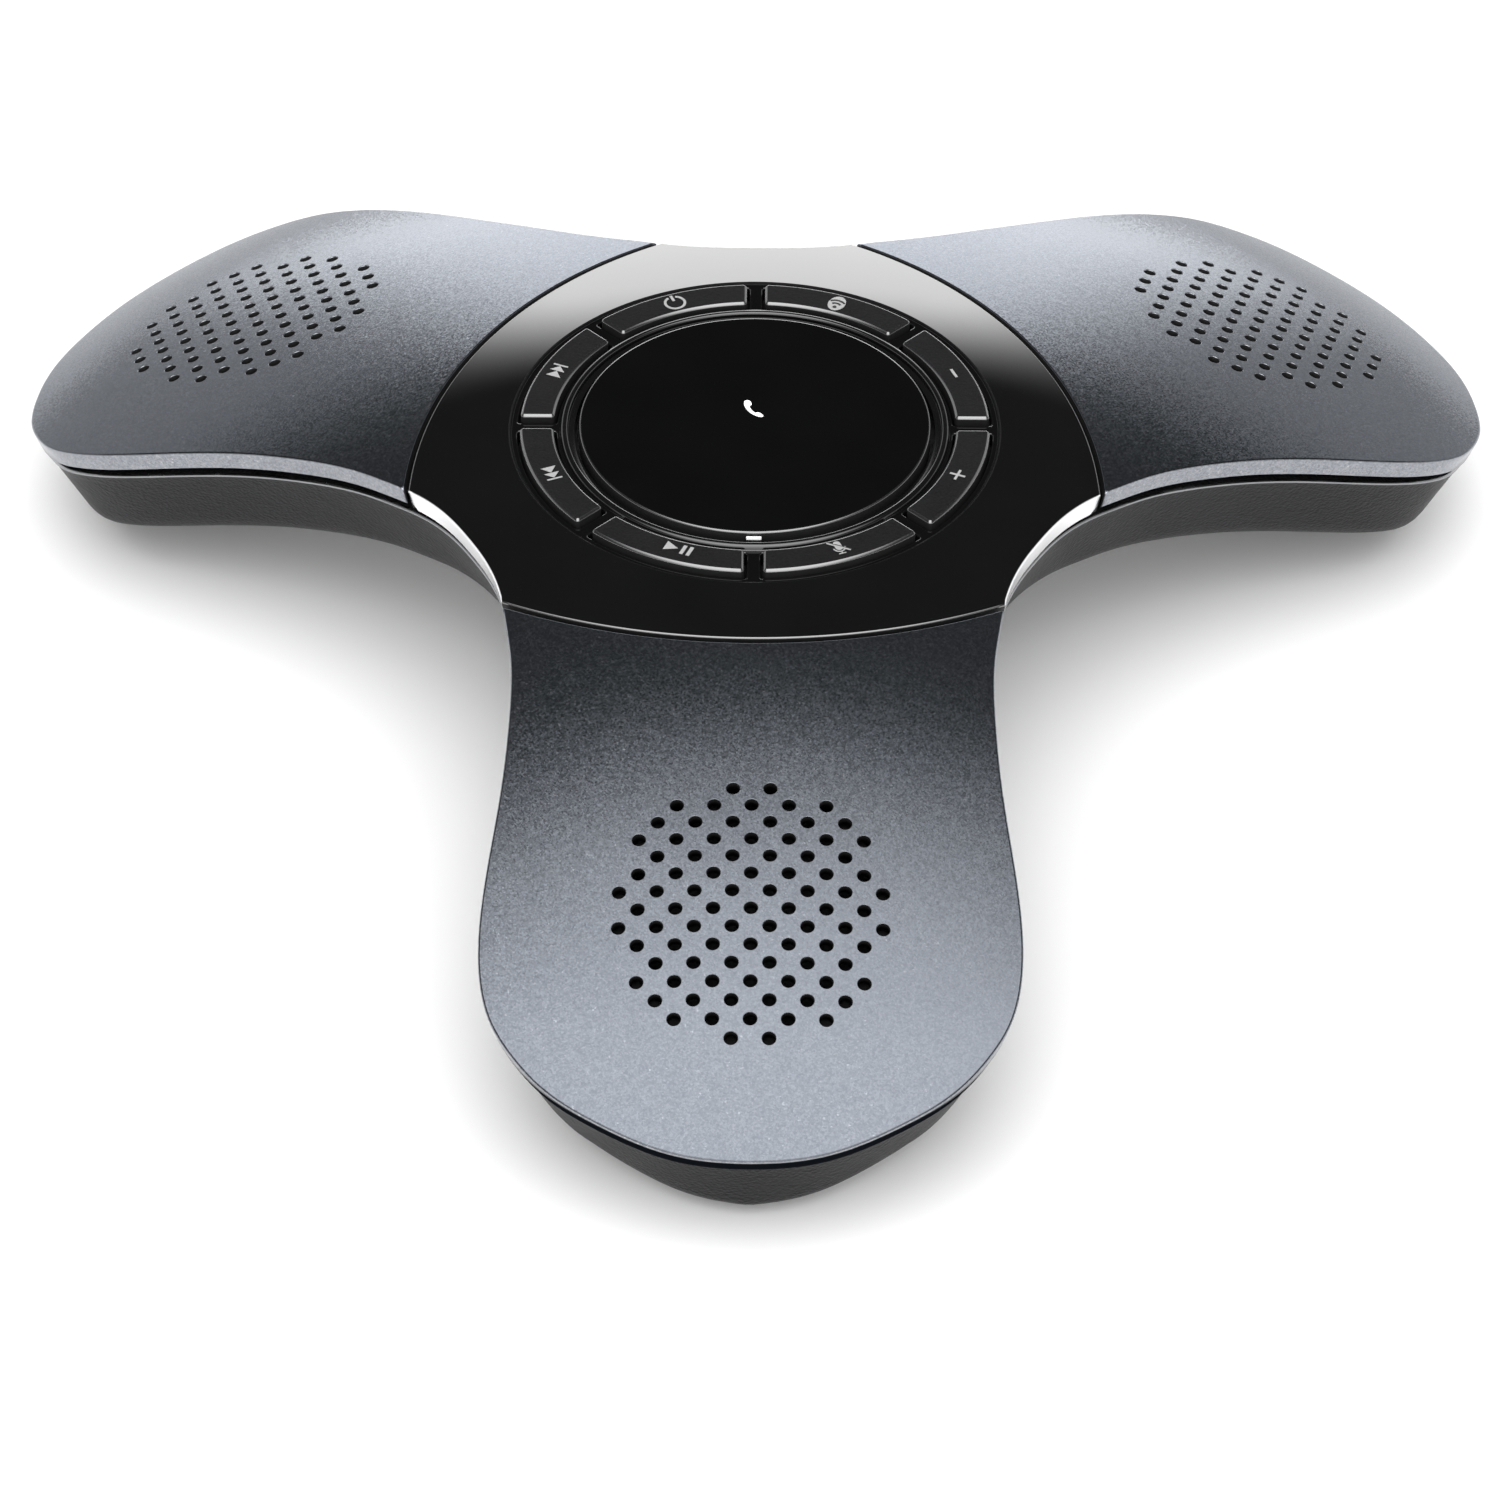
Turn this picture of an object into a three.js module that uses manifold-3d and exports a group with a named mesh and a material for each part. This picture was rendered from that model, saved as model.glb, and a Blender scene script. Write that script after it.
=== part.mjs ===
// Three-armed conference speakerphone. Millimetres, +Z up, the front arm points along -Y.
// The whole top is one sphere. All heights below it are given as a drop t under that sphere.
import * as THREE from "three";
import { mergeVertices } from "three/addons/utils/BufferGeometryUtils.js";
import Module from "manifold-3d";

// ---- driving dimensions -------------------------------------------------
const SPHERE_R = 293.2; // radius of the crowned top
const APEX_H = 54.3; // height of the sphere's apex over the table
const ROLL_START = 115.0; // the arm tips roll off beyond this radius
const ROLL_END = 135.2;
const ROLL_DROP = 1.6;
// Plan outline of one arm: angle from the arm's axis (degrees), radius from the hub axis.
const OUTLINE = [
  [0, 135.16], [5, 134.4], [10, 131.48], [14, 128.13], [17, 124.02], [19.5, 118.85], [22, 109.07],
  [25, 92.41], [29, 77.51], [34, 66.94], [39, 60.98], [43.1, 57.45], [50, 53.91], [60, 52.51],
];
const COVER_T = 2.0; // thickness of the arm covers
const DECK_T = 2.2; // thickness of the centre deck
const BAND_T = 3.35; // height of the side band of covers and deck
const BAND_W = 1.8; // thickness of the side band
const CASE_TOP = 4.6; // drop of the casing's upper rim
const CASE_KINK = [6.6, 4.4, 21.3]; // inset at the sides and at the tip, and drop, of the casing's lower corner
const CASE_LOW = [14.0, 26.0]; // inset and drop that aim the rounded lower corner
const CASE_UNDER = 23.8; // drop of the underside
const CASE_W = 2.2; // wall of the casing
const SEAM_R = 83.6; // radius of the seam between deck and arm cover
const SEAM_C = -32.0; // its centre on the arm's axis
const SEAM_GAP = 0.8;
const GRILLE_R0 = 98.8; // centre of the perforated field
const HOLE_R = 1.03;
const COL = 5.657; // hole pitch across the arm
const ROW = 2.8285; // hole pitch along the arm
const ROWS = [2, 5, 6, 7, 6, 7, 8, 7, 8, 7, 6, 7, 6, 5, 2];
const DISC_R = 28.4; // call button
const DISC_HOLE_R = 29.1;
const TRAY_R = 38.9, TRAY_Z = -3.0, TRAY_UNDER = -5.2; // flat round tray in the deck that the controls stand in
const TOP_Z = -1.75; // flat tops of the keys and the call button
const KEY_IN = 32.45, KEY_OUT = 37.95, KEY_HALF_GAP = 1.5, KEY_CLEAR = 0.4;
const FLANGE_Z = [-6.4, -5.5]; // retaining flanges under the deck
const SWITCH_GAP = 0.7; // free way between a plunger and its switch
const KEY_BOARD_Z = -9.2; // upper face of the switch board
const SWITCH_H = 1.2;
const MAIN_BOARD_Z = -16.6; // upper face of the main board
const FOOT = { y: 114, half: 7.5, r: 5 }; // rubber foot: centre on the arm's axis, half length of its straight part, end radius
const SCREWS = [[-25, 84], [25, 84], [0, 62]]; // casing screws in the arm's frame
const DRIVER_SINK = 0.9; // extra depth of the loudspeakers below the cover's underside
const GAP = 0.3;

const wasm = await Module();
wasm.setup();

// ---- helpers ------------------------------------------------------------
const profile = (r) =>
  Math.sqrt(SPHERE_R ** 2 - r * r) - SPHERE_R -
  (r > ROLL_START ? ROLL_DROP * ((r - ROLL_START) / (ROLL_END - ROLL_START)) ** 2 : 0);

function solid(geometry) {
  const g = geometry.clone();
  g.deleteAttribute("normal");
  g.deleteAttribute("uv");
  const m = mergeVertices(g, 1e-4);
  return new wasm.Manifold(new wasm.Mesh({
    numProp: 3, vertProperties: new Float32Array(m.attributes.position.array), triVerts: new Uint32Array(m.index.array),
  }));
}
function geometryOf(s) {
  const m = s.getMesh(), p = new Float32Array(m.numVert * 3);
  for (let i = 0; i < m.numVert; i++) p.set(m.vertProperties.subarray(i * m.numProp, i * m.numProp + 3), i * 3);
  const g = new THREE.BufferGeometry();
  g.setAttribute("position", new THREE.BufferAttribute(p, 3));
  g.setIndex(new THREE.BufferAttribute(new Uint32Array(m.triVerts), 1));
  g.computeVertexNormals();
  return g;
}
const cut = (a, ...rest) => rest.reduce((s, b) => s.subtract(b), a);
const join = (a, ...rest) => rest.reduce((s, b) => s.add(b), a);

function polygon(points) {
  return new THREE.Shape(points.map(([x, y]) => new THREE.Vector2(x, y)));
}
function prism(points, z0, z1) {
  const g = new THREE.ExtrudeGeometry(polygon(points), { depth: z1 - z0, bevelEnabled: false });
  g.translate(0, 0, z0);
  return solid(g);
}
// A stack of rings over one outline: rings[k][i] is the place of outline point i in ring k, highest ring last.
function loft(points, rings) {
  const g = new THREE.ExtrudeGeometry(polygon(points), { depth: rings.length - 1, steps: rings.length - 1, bevelEnabled: false });
  const key = (x, y) => Math.fround(x) + "," + Math.fround(y);
  const index = new Map(points.map(([x, y], i) => [key(x, y), i]));
  const p = g.attributes.position;
  for (let i = 0; i < p.count; i++) {
    const [x, y, z] = rings[Math.round(p.getZ(i))][index.get(key(p.getX(i), p.getY(i)))];
    p.setXYZ(i, x, y, z);
  }
  return solid(g);
}
function cylinder(r, x, y, z0, z1, n = 12) {
  const g = new THREE.CylinderGeometry(r, r, z1 - z0, n);
  g.rotateX(Math.PI / 2);
  g.translate(x, y, (z0 + z1) / 2);
  return solid(g);
}
function box(x0, x1, y0, y1, z0, z1) {
  const g = new THREE.BoxGeometry(x1 - x0, y1 - y0, z1 - z0);
  g.translate((x0 + x1) / 2, (y0 + y1) / 2, (z0 + z1) / 2);
  return solid(g);
}
// A lathe about +Z from [radius, z] points, first and last on the axis, running so that the faces point out.
function lathe(points, n) {
  const g = new THREE.LatheGeometry(points.map(([r, z]) => new THREE.Vector2(r, z)), n);
  g.rotateX(Math.PI / 2);
  return solid(g);
}
// Everything under the sphere lowered by t.
const DOME_RINGS = [0, 30, 60, 88, 112, 126, 136, 146];
function under(t) {
  return lathe([[0, -110], [146, -110], ...DOME_RINGS.map((r) => [r, profile(r) - t]).reverse()], 24);
}
const turn = ([x, y], a) => [x * Math.cos(a) - y * Math.sin(a), x * Math.sin(a) + y * Math.cos(a)];
const DEG = Math.PI / 180;

// ---- plan outline -------------------------------------------------------
// In the arm's frame: x across, y outward. The three arms stand at 90, 210 and 330 degrees of this frame.
const plan = [];
for (const axis of [90, 210, 330]) {
  for (const [a, r] of [...OUTLINE.slice(1, -1)].reverse()) plan.push([r * Math.cos((axis - a) * DEG), r * Math.sin((axis - a) * DEG), a]);
  for (const [a, r] of OUTLINE) plan.push([r * Math.cos((axis + a) * DEG), r * Math.sin((axis + a) * DEG), a]);
}
const outline = plan.map(([x, y]) => [+x.toFixed(4), +y.toFixed(4)]);
const count = outline.length;
const inward = outline.map(([x, y], i) => {
  const a = outline[(i + count - 1) % count], b = outline[(i + 1) % count];
  const l = Math.hypot(b[0] - a[0], b[1] - a[1]);
  return [-(b[1] - a[1]) / l, (b[0] - a[0]) / l];
});
const inset = (s) => outline.map(([x, y], i) => {
  const d = typeof s === "function" ? s(i) : s;
  return [x + inward[i][0] * d, y + inward[i][1] * d];
});
// A wall over an outline whose lines all run to the centre of the sphere.
function radialWall(points, z0, z1) {
  const ring = (z) => points.map(([x, y]) => {
    const k = (z + SPHERE_R) / (profile(Math.hypot(x, y)) + SPHERE_R);
    return [x * k, y * k, z];
  });
  return loft(outline, [ring(z0), ring(z1)]);
}
// The casing's wall, grown inward by w, with its floor side aimed at a drop raised by up.
function casingWall(w, up, straight = false) {
  const tipShare = plan.map(([, , a]) => Math.max(0, 1 - a / 12));
  const A = outline.map(([x, y], i) => {
    const zs = profile(Math.hypot(x, y)) + SPHERE_R, k = (zs - CASE_TOP) / zs;
    const ax = x * k + inward[i][0] * w, ay = y * k + inward[i][1] * w;
    return [ax, ay, profile(Math.hypot(x * k, y * k)) - CASE_TOP];
  });
  const at = (s, t) => outline.map(([x, y], i) => {
    const d = s(i), px = x + inward[i][0] * d, py = y + inward[i][1] * d;
    return [px, py, profile(Math.hypot(px, py)) - t];
  });
  const B = at((i) => CASE_KINK[0] + (CASE_KINK[1] - CASE_KINK[0]) * tipShare[i] + w, CASE_KINK[2] - up);
  const C = at(() => CASE_LOW[0] + w, CASE_LOW[1] - up * 0.6);
  const top = A.map((a, i) => {
    const b = B[i], k = (12 - a[2]) / (a[2] - b[2]);
    return [a[0] + (a[0] - b[0]) * k, a[1] + (a[1] - b[1]) * k, 12];
  });
  if (!straight) return loft(outline, [C, B, top]);
  const low = B.map((b, i) => {
    const a = A[i], k = 5 / (a[2] - b[2]);
    return [b[0] - (a[0] - b[0]) * k, b[1] - (a[1] - b[1]) * k, b[2] - 5];
  });
  return loft(outline, [low, top]);
}

// ---- arm cover (arm's frame, y outward) ---------------------------------
const dome0 = under(0);
const bandFoot = under(BAND_T);
const shellBlank = radialWall(outline, -60, 12).intersect(dome0).subtract(bandFoot);
const innerBand = radialWall(inset(BAND_W), -60, 12);
const seam = (r) => cylinder(r, 0, SEAM_C, -80, 20, 72);
const wedge = prism([[0, 0], turn([200, 0], 150 * DEG), [-200, 260], [200, 260], turn([200, 0], 30 * DEG)], -80, 20);
let cover = shellBlank.subtract(innerBand.intersect(under(COVER_T))).intersect(wedge).subtract(seam(SEAM_R + SEAM_GAP / 2));
const screwZ = SCREWS.map(([x, y]) => profile(Math.hypot(x, y)));
SCREWS.forEach(([x, y], i) => {
  const z = screwZ[i];
  cover = cover.add(cylinder(3.4, x, y, z - 17.2, z - 1.2, 8)).subtract(cylinder(1.5, x, y, z - 18, z - 8.6, 6));
});
// Perforated field: bores square to the sphere.
const holeGeo = new THREE.CylinderGeometry(HOLE_R * 1.16, HOLE_R * 1.16, 12, 4);
holeGeo.rotateX(Math.PI / 2);
for (let j = 0; j < ROWS.length; j++) {
  const y = GRILLE_R0 + (j - 7) * ROW;
  for (let i = 0; i < ROWS[j]; i++) {
    const x = (i - (ROWS[j] - 1) / 2) * COL;
    const z = profile(Math.hypot(x, y));
    const g = holeGeo.clone();
    g.rotateX(-Math.asin(y / SPHERE_R));
    g.translate(x, y, z);
    cover = cover.subtract(solid(g));
  }
}

// ---- centre deck --------------------------------------------------------
const arms = [0, 120, 240];
let deck = shellBlank.subtract(innerBand.intersect(under(DECK_T)));
for (const a of arms) deck = deck.intersect(seam(SEAM_R - SEAM_GAP / 2).rotate([0, 0, a]));
// Ledges that reach under the edges of the arm covers.
const ledgeZone = radialWall(inset(BAND_W + GAP + 0.2), -60, 12).subtract(under(3.7));
for (const a of arms) {
  const reach = seam(SEAM_R + 3).subtract(seam(SEAM_R - 4)).intersect(under(COVER_T + GAP));
  const root = seam(SEAM_R - 0.8).subtract(seam(SEAM_R - 4)).intersect(under(DECK_T - 0.7));
  deck = deck.add(ledgeZone.intersect(reach.add(root).intersect(wedge).rotate([0, 0, a])));
}
deck = deck.add(cylinder(40.6, 0, 0, TRAY_UNDER, TRAY_Z + 0.4, 48)).subtract(cylinder(TRAY_R, 0, 0, TRAY_Z, 10, 48))
  .subtract(cylinder(DISC_HOLE_R, 0, 0, -20, 10, 36)).subtract(box(-1.55, 1.55, 25, 29.75, -20, 10));
// A key's outline between the radial lines at a and a + 45 degrees, grown by g.
function keyPlan(a, g, ends = g) {
  const pts = [], r0 = KEY_IN - g, r1 = KEY_OUT + g, h = KEY_HALF_GAP - ends, n = 4;
  const arc = (r, back) => {
    const lo = a * DEG + Math.asin(h / r), hi = (a + 45) * DEG - Math.asin(h / r);
    for (let i = 0; i <= n; i++) {
      const p = back ? hi + ((lo - hi) * i) / n : lo + ((hi - lo) * i) / n;
      pts.push([+(r * Math.cos(p)).toFixed(4), +(r * Math.sin(p)).toFixed(4)]);
    }
  };
  arc(r1, false);
  arc(r0, true);
  return pts;
}
for (let k = 0; k < 8; k++) deck = deck.subtract(prism(keyPlan(k * 45, KEY_CLEAR), -20, 10));
// Posts that hold the switch board.
for (const a of [30, 150, 270]) {
  const [x, y] = turn([41.2, 0], a * DEG);
  deck = deck.add(cylinder(1.7, x, y, KEY_BOARD_Z + GAP, profile(41.2) - 1, 8));
}

// ---- keys and call button ----------------------------------------------
function makeKey(a) {
  const body = prism(keyPlan(a, 0), FLANGE_Z[1] - 0.2, TOP_Z);
  const flange = prism(keyPlan(a, 0.85, 0.5), FLANGE_Z[0], FLANGE_Z[1]);
  const [x, y] = turn([35.2, 0], (a + 22.5) * DEG);
  return join(body, flange, cylinder(1.5, x, y, KEY_BOARD_Z + SWITCH_H + SWITCH_GAP, FLANGE_Z[0] + 0.3, 8));
}
let callButton = lathe([
  [0, FLANGE_Z[0]], [30.3, FLANGE_Z[0]], [30.3, FLANGE_Z[1]], [DISC_R, FLANGE_Z[1]], [DISC_R, TOP_Z - 0.3], [DISC_R - 0.3, TOP_Z], [0, TOP_Z],
], 36);
callButton = callButton.add(cylinder(2.5, 0, 0, KEY_BOARD_Z + SWITCH_H + SWITCH_GAP, FLANGE_Z[0] + 0.3, 10));
callButton = callButton.subtract(box(-1.7, 1.7, -31, -DISC_R - 0.05, -20, 5));
const lightGuide = box(-1.2, 1.2, -29.4, -28.7, KEY_BOARD_Z + GAP, -2.2);

// ---- boards, battery, socket -------------------------------------------
let keyBoard = cylinder(43, 0, 0, KEY_BOARD_Z - 1.6, KEY_BOARD_Z, 24);
for (let k = 0; k < 8; k++) {
  const [x, y] = turn([35.2, 0], (k * 45 + 22.5) * DEG);
  keyBoard = keyBoard.add(cylinder(2.2, x, y, KEY_BOARD_Z - 0.5, KEY_BOARD_Z + SWITCH_H, 6));
}
keyBoard = keyBoard.add(cylinder(3, 0, 0, KEY_BOARD_Z - 0.5, KEY_BOARD_Z + SWITCH_H, 8));
let mainBoard = cylinder(41, 0, 0, MAIN_BOARD_Z - 1.6, MAIN_BOARD_Z, 24);
for (const [x, y, w, d, h] of [[-12, 6, 12, 12, 1.2], [10, -8, 9, 9, 1.4], [14, 14, 6, 10, 1.8], [-16, -16, 8, 6, 2.2], [0, 27, 10, 5, 1.6]])
  mainBoard = mainBoard.add(box(x - w / 2, x + w / 2, y - d / 2, y + d / 2, MAIN_BOARD_Z - 1.6 - h, MAIN_BOARD_Z - 1));
const cell = new THREE.Shape();
cell.moveTo(-24, -14).lineTo(24, -14).lineTo(24, 14).lineTo(-24, 14);
const cellGeo = new THREE.ExtrudeGeometry(cell, { depth: 2.6, bevelEnabled: true, bevelSize: 1, bevelThickness: 1, bevelSegments: 2 });
cellGeo.translate(0, 0, MAIN_BOARD_Z + 0.7 + 1);
const battery = solid(cellGeo);
const sock = { y0: 40, y1: 49.5, w: 4.5, z0: MAIN_BOARD_Z + GAP, z1: MAIN_BOARD_Z + GAP + 3.2 };
const socket = join(
  box(-sock.w, sock.w, sock.y0, sock.y1, sock.z0, sock.z1)
    .subtract(box(-sock.w + 0.4, sock.w - 0.4, sock.y1 - 6.5, sock.y1 + 1, sock.z0 + 0.4, sock.z1 - 0.4)),
  box(-3.3, 3.3, sock.y1 - 7, sock.y1 - 1.5, sock.z0 + 1.25, sock.z0 + 1.95),
);

// ---- lower casing (frame with the rear notch at +Y) ---------------------
const stadium = (half, r, cy, n = 4) => {
  const pts = [];
  for (let i = 0; i <= n; i++) { const p = -90 * DEG + (180 * DEG * i) / n; pts.push([half + r * Math.cos(p), cy + r * Math.sin(p)]); }
  for (let i = 0; i <= n; i++) { const p = 90 * DEG + (180 * DEG * i) / n; pts.push([-half + r * Math.cos(p), cy + r * Math.sin(p)]); }
  return pts.map(([x, y]) => [+x.toFixed(4), +y.toFixed(4)]);
};
const underside = under(CASE_UNDER);
let casing = casingWall(0, 0).intersect(under(CASE_TOP)).subtract(underside)
  .subtract(casingWall(CASE_W, CASE_W, true).subtract(under(CASE_UNDER - CASE_W)));
const SEAT_Z = -52.5, SEAT_FLOOR = -51.3;
let armFittings = null, armCuts = null;
{
  const low = stadium(FOOT.half + 0.5, FOOT.r + 2.2, FOOT.y), high = stadium(FOOT.half + 0.5, FOOT.r + 5, FOOT.y);
  const pedestal = loft(low, [low.map(([x, y]) => [x, y, SEAT_Z]), high.map(([x, y]) => [x, y, -40])])

    .intersect(under(CASE_UNDER - 0.8));
  armFittings = pedestal;
  armCuts = prism(stadium(FOOT.half, FOOT.r + GAP, FOOT.y), -70, SEAT_FLOOR);
  SCREWS.forEach(([x, y], i) => {
    const z = screwZ[i];
    armFittings = armFittings.add(cylinder(5, x, y, z - CASE_UNDER + 0.9, z - 17.5, 8));
    armCuts = armCuts.add(cylinder(1.6, x, y, z - 30, z - 15, 6)).add(cylinder(3.2, x, y, z - 32, z - 20.6, 10));
  });
}
// The outline above has an arm at +Y: half a turn brings the rear notch there.
const toFrame = (s) => s.rotate([0, 0, 180]);
casing = toFrame(casing);
for (const a of [180, 60, -60]) casing = casing.add(armFittings.rotate([0, 0, a]));
for (const a of [180, 60, -60]) casing = casing.subtract(armCuts.rotate([0, 0, a]));
for (const a of [30, 150, 270]) {
  const [x, y] = turn([34, 0], a * DEG);
  casing = casing.add(cylinder(3, x, y, profile(34) - CASE_UNDER + 1, MAIN_BOARD_Z - 1.6 - GAP, 10));
}
casing = casing.subtract(box(-sock.w - GAP, sock.w + GAP, 44, 60, sock.z0 - GAP, sock.z1 + GAP));
deck = toFrame(deck);

// ---- pieces inside an arm (arm's frame) ---------------------------------
const foot = prism(stadium(FOOT.half, FOOT.r, FOOT.y), -APEX_H, SEAT_FLOOR - GAP);
const screwSolid = (i) => {
  const [x, y] = SCREWS[i], z = screwZ[i];
  return cylinder(2.8, x, y, z - 22.7, z - 20.9, 10).add(cylinder(1.2, x, y, z - 21.5, z - 10.4, 6));
};
// Driver parts: local z along the sphere's normal, 0 on the sphere, negative inward.
const gasket = lathe([[0, -4.4], [22, -4.4], [22, -3.2], [0, -3.2]], 16).subtract(cylinder(19.4, 0, 0, -6, 0, 16));
const basket = lathe([[0, -18.2], [12.6, -18.2], [12.6, -12.6], [14.2, -11.6], [20.3, -6.4], [22, -6.2], [22, -4.7], [0, -4.7]], 16)
  .subtract(lathe([[0, -11.3], [9, -11.3], [18.8, -5.6], [19.4, -4], [0, -4]], 16));
const cone = lathe([
  [0, -10.8], [8.6, -10.9], [18.3, -5.3], [18.6, -4.6], [16.6, -4.9], [15.6, -5.8], [7.6, -9.9], [4.5, -8.8], [0, -8.2],
], 16);
const mic = cylinder(2.6, 0, 0, -10.5, -8.2, 10).add(cylinder(3.4, 0, 0, -12, -10.3, 10));

// ---- scene graph --------------------------------------------------------
const look = (color, roughness, metalness) => new THREE.MeshStandardMaterial({ color, roughness, metalness });
const MAT = {
  paint: [0x6d747d, 0.42, 0.7], gloss: [0x0b0b0c, 0.06, 0], key: [0x1c1c1e, 0.5, 0], casing: [0x3a3a3b, 0.6, 0], light: [0xf2f4f5, 0.3, 0],
  rubber: [0x161617, 0.9, 0], steel: [0x8d9094, 0.35, 1], magnet: [0x55585c, 0.4, 1], cone: [0x151517, 0.8, 0], board: [0x1d4a30, 0.6, 0], cell: [0x30507a, 0.5, 0], mic: [0xb5b7b9, 0.3, 1],
};
const mesh = (name, s, mat) => {
  const m = new THREE.Mesh(geometryOf(s), look(...MAT[mat]));
  m.name = name;
  return m;
};
const part = new THREE.Group();
const xs = outline.map(([x]) => x), ys = outline.map(([, y]) => -y);
const body = new THREE.Group(); // hub axis at its origin, sphere's apex at z = 0
body.position.set(0, -(Math.min(...ys) + Math.max(...ys)) / 2, APEX_H);
part.add(body);

body.add(mesh("lower_casing", casing, "casing"));
body.add(mesh("center_deck", deck, "gloss"));
body.add(mesh("call_button", callButton, "gloss"));
const KEYS = ["volume_up_key", "volume_down_key", "pairing_key", "power_key", "previous_key", "next_key", "play_pause_key", "mic_mute_key"];
// Counting anticlockwise from +X: the arc from 0 to 45 degrees lies right of centre, towards the back.
const ORDER = [1, 2, 3, 4, 5, 6, 7, 0];
ORDER.forEach((n, k) => body.add(mesh(KEYS[n], makeKey(k * 45), "key")));
body.add(mesh("status_light", lightGuide, "light"));
body.add(mesh("key_board", keyBoard, "board"));
body.add(mesh("main_board", mainBoard, "board"));
body.add(mesh("battery_pack", battery, "cell"));
body.add(mesh("charging_socket", socket, "steel"));

const sides = { front: 180, right: -60, left: 60 };
for (const [side, angle] of Object.entries(sides)) {
  const arm = new THREE.Group();
  arm.rotation.z = angle * DEG;
  body.add(arm);
  arm.add(mesh("arm_cover_" + side, cover, "paint"));
  arm.add(mesh("foot_" + side, foot, "rubber"));
  SCREWS.forEach((_, i) => arm.add(mesh("casing_screw_" + side + "_" + (i + 1), screwSolid(i), "steel")));
  const tilt = Math.asin(GRILLE_R0 / SPHERE_R);
  const driver = new THREE.Group();
  driver.position.set(0, GRILLE_R0 - DRIVER_SINK * Math.sin(tilt), profile(GRILLE_R0) - DRIVER_SINK * Math.cos(tilt));
  driver.rotation.x = -tilt;
  arm.add(driver);
  driver.add(mesh("speaker_gasket_" + side, gasket, "rubber"));
  driver.add(mesh("speaker_frame_" + side, basket, "magnet"));
  driver.add(mesh("speaker_cone_" + side, cone, "cone"));
  const capsule = new THREE.Group();
  capsule.position.set(0, 123.5, profile(123.5));
  capsule.rotation.x = -Math.asin(123.5 / SPHERE_R);
  arm.add(capsule);
  capsule.add(mesh("microphone_" + side, mic, "mic"));
}

export default part;
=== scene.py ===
import math
import bpy
import numpy as np
from mathutils import Matrix, Vector
from mathutils.geometry import delaunay_2d_cdt

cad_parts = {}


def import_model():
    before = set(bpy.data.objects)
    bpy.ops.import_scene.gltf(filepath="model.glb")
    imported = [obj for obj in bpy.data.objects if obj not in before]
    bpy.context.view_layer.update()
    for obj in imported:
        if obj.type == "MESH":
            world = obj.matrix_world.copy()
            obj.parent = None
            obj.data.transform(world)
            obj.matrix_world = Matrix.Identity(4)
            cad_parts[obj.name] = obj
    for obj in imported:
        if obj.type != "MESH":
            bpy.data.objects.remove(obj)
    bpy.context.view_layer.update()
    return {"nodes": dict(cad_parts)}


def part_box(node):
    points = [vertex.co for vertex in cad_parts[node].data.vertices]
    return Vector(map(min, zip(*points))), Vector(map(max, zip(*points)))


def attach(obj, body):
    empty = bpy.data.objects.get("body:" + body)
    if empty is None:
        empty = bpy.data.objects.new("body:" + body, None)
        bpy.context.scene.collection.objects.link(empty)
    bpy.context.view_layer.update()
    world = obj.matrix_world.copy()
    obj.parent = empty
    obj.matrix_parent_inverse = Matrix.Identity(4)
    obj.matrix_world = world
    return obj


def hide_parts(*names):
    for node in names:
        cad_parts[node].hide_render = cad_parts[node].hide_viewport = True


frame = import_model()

SCENE = bpy.context.scene

# ---------------------------------------------------------------- places
# The hub frame used below: millimetres, origin at the apex of the top's sphere on the hub axis.
# An arm's own frame has its arm along +Y; ARM gives the turn that brings it to its place.
TOP_Z = -1.75
_lo, _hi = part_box("key_board")
_, _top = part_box("call_button")
HUB = np.array([(_lo.x + _hi.x) / 2, (_lo.y + _hi.y) / 2, _top.z - TOP_Z / 1000])
ARM = {"front": 180.0, "right": -60.0, "left": 60.0}

SPHERE_R = 293.2
ROLL_START, ROLL_END, ROLL_DROP = 115.0, 135.2, 1.6
TRAY_R, TRAY_Z, TRAY_UNDER = 39.3, -3.0, -5.2
DISC_R, DISC_HOLE_R = 28.4, 29.1
KEY_IN, KEY_OUT, KEY_HALF_GAP, KEY_CLEAR = 32.45, 37.95, 1.5, 0.4
SEAM_R, SEAM_C, SEAM_HALF = 83.6, -32.0, 0.4
BAND_T, DECK_BAND, BAND_W, COVER_T, DECK_T = 3.35, 4.0, 1.8, 2.0, 2.2
CASE_TOP, CASE_W, CASE_UNDER = 4.9, 2.2, 24.0
FLOOR_Z = -HUB[2] * 1000.0
DEG = math.pi / 180

# ---------------------------------------------------------------- camera
def camera():
    cam = bpy.data.objects.new("camera", bpy.data.cameras.new("camera"))
    SCENE.collection.objects.link(cam)
    el, az, roll = 41.002 * DEG, -0.249 * DEG, 0.169 * DEG
    ce, se, ca, sa = math.cos(el), math.sin(el), math.cos(az), math.sin(az)
    fwd = Vector((sa * ce, ca * ce, -se))
    right = Vector((ca, -sa, 0.0))
    up = right.cross(fwd)
    cr, sr = math.cos(roll), math.sin(roll)
    right, up = cr * right + sr * up, -sr * right + cr * up
    place = Vector((2.381, -692.338, 530.039)) / 1000 + Vector(HUB)
    cam.matrix_world = Matrix(((right.x, up.x, -fwd.x, place.x), (right.y, up.y, -fwd.y, place.y), (right.z, up.z, -fwd.z, place.z), (0, 0, 0, 1)))
    cam.data.sensor_width = 36.0
    cam.data.lens = 129.53
    cam.data.clip_start, cam.data.clip_end = 0.01, 50.0
    SCENE.camera = cam
camera()

# ---------------------------------------------------------------- surface maths
def prof(r):
    r = np.asarray(r, float)
    roll = ROLL_DROP * (np.clip(r - ROLL_START, 0, None) / (ROLL_END - ROLL_START)) ** 2
    return np.sqrt(SPHERE_R ** 2 - r * r) - SPHERE_R - roll

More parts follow.
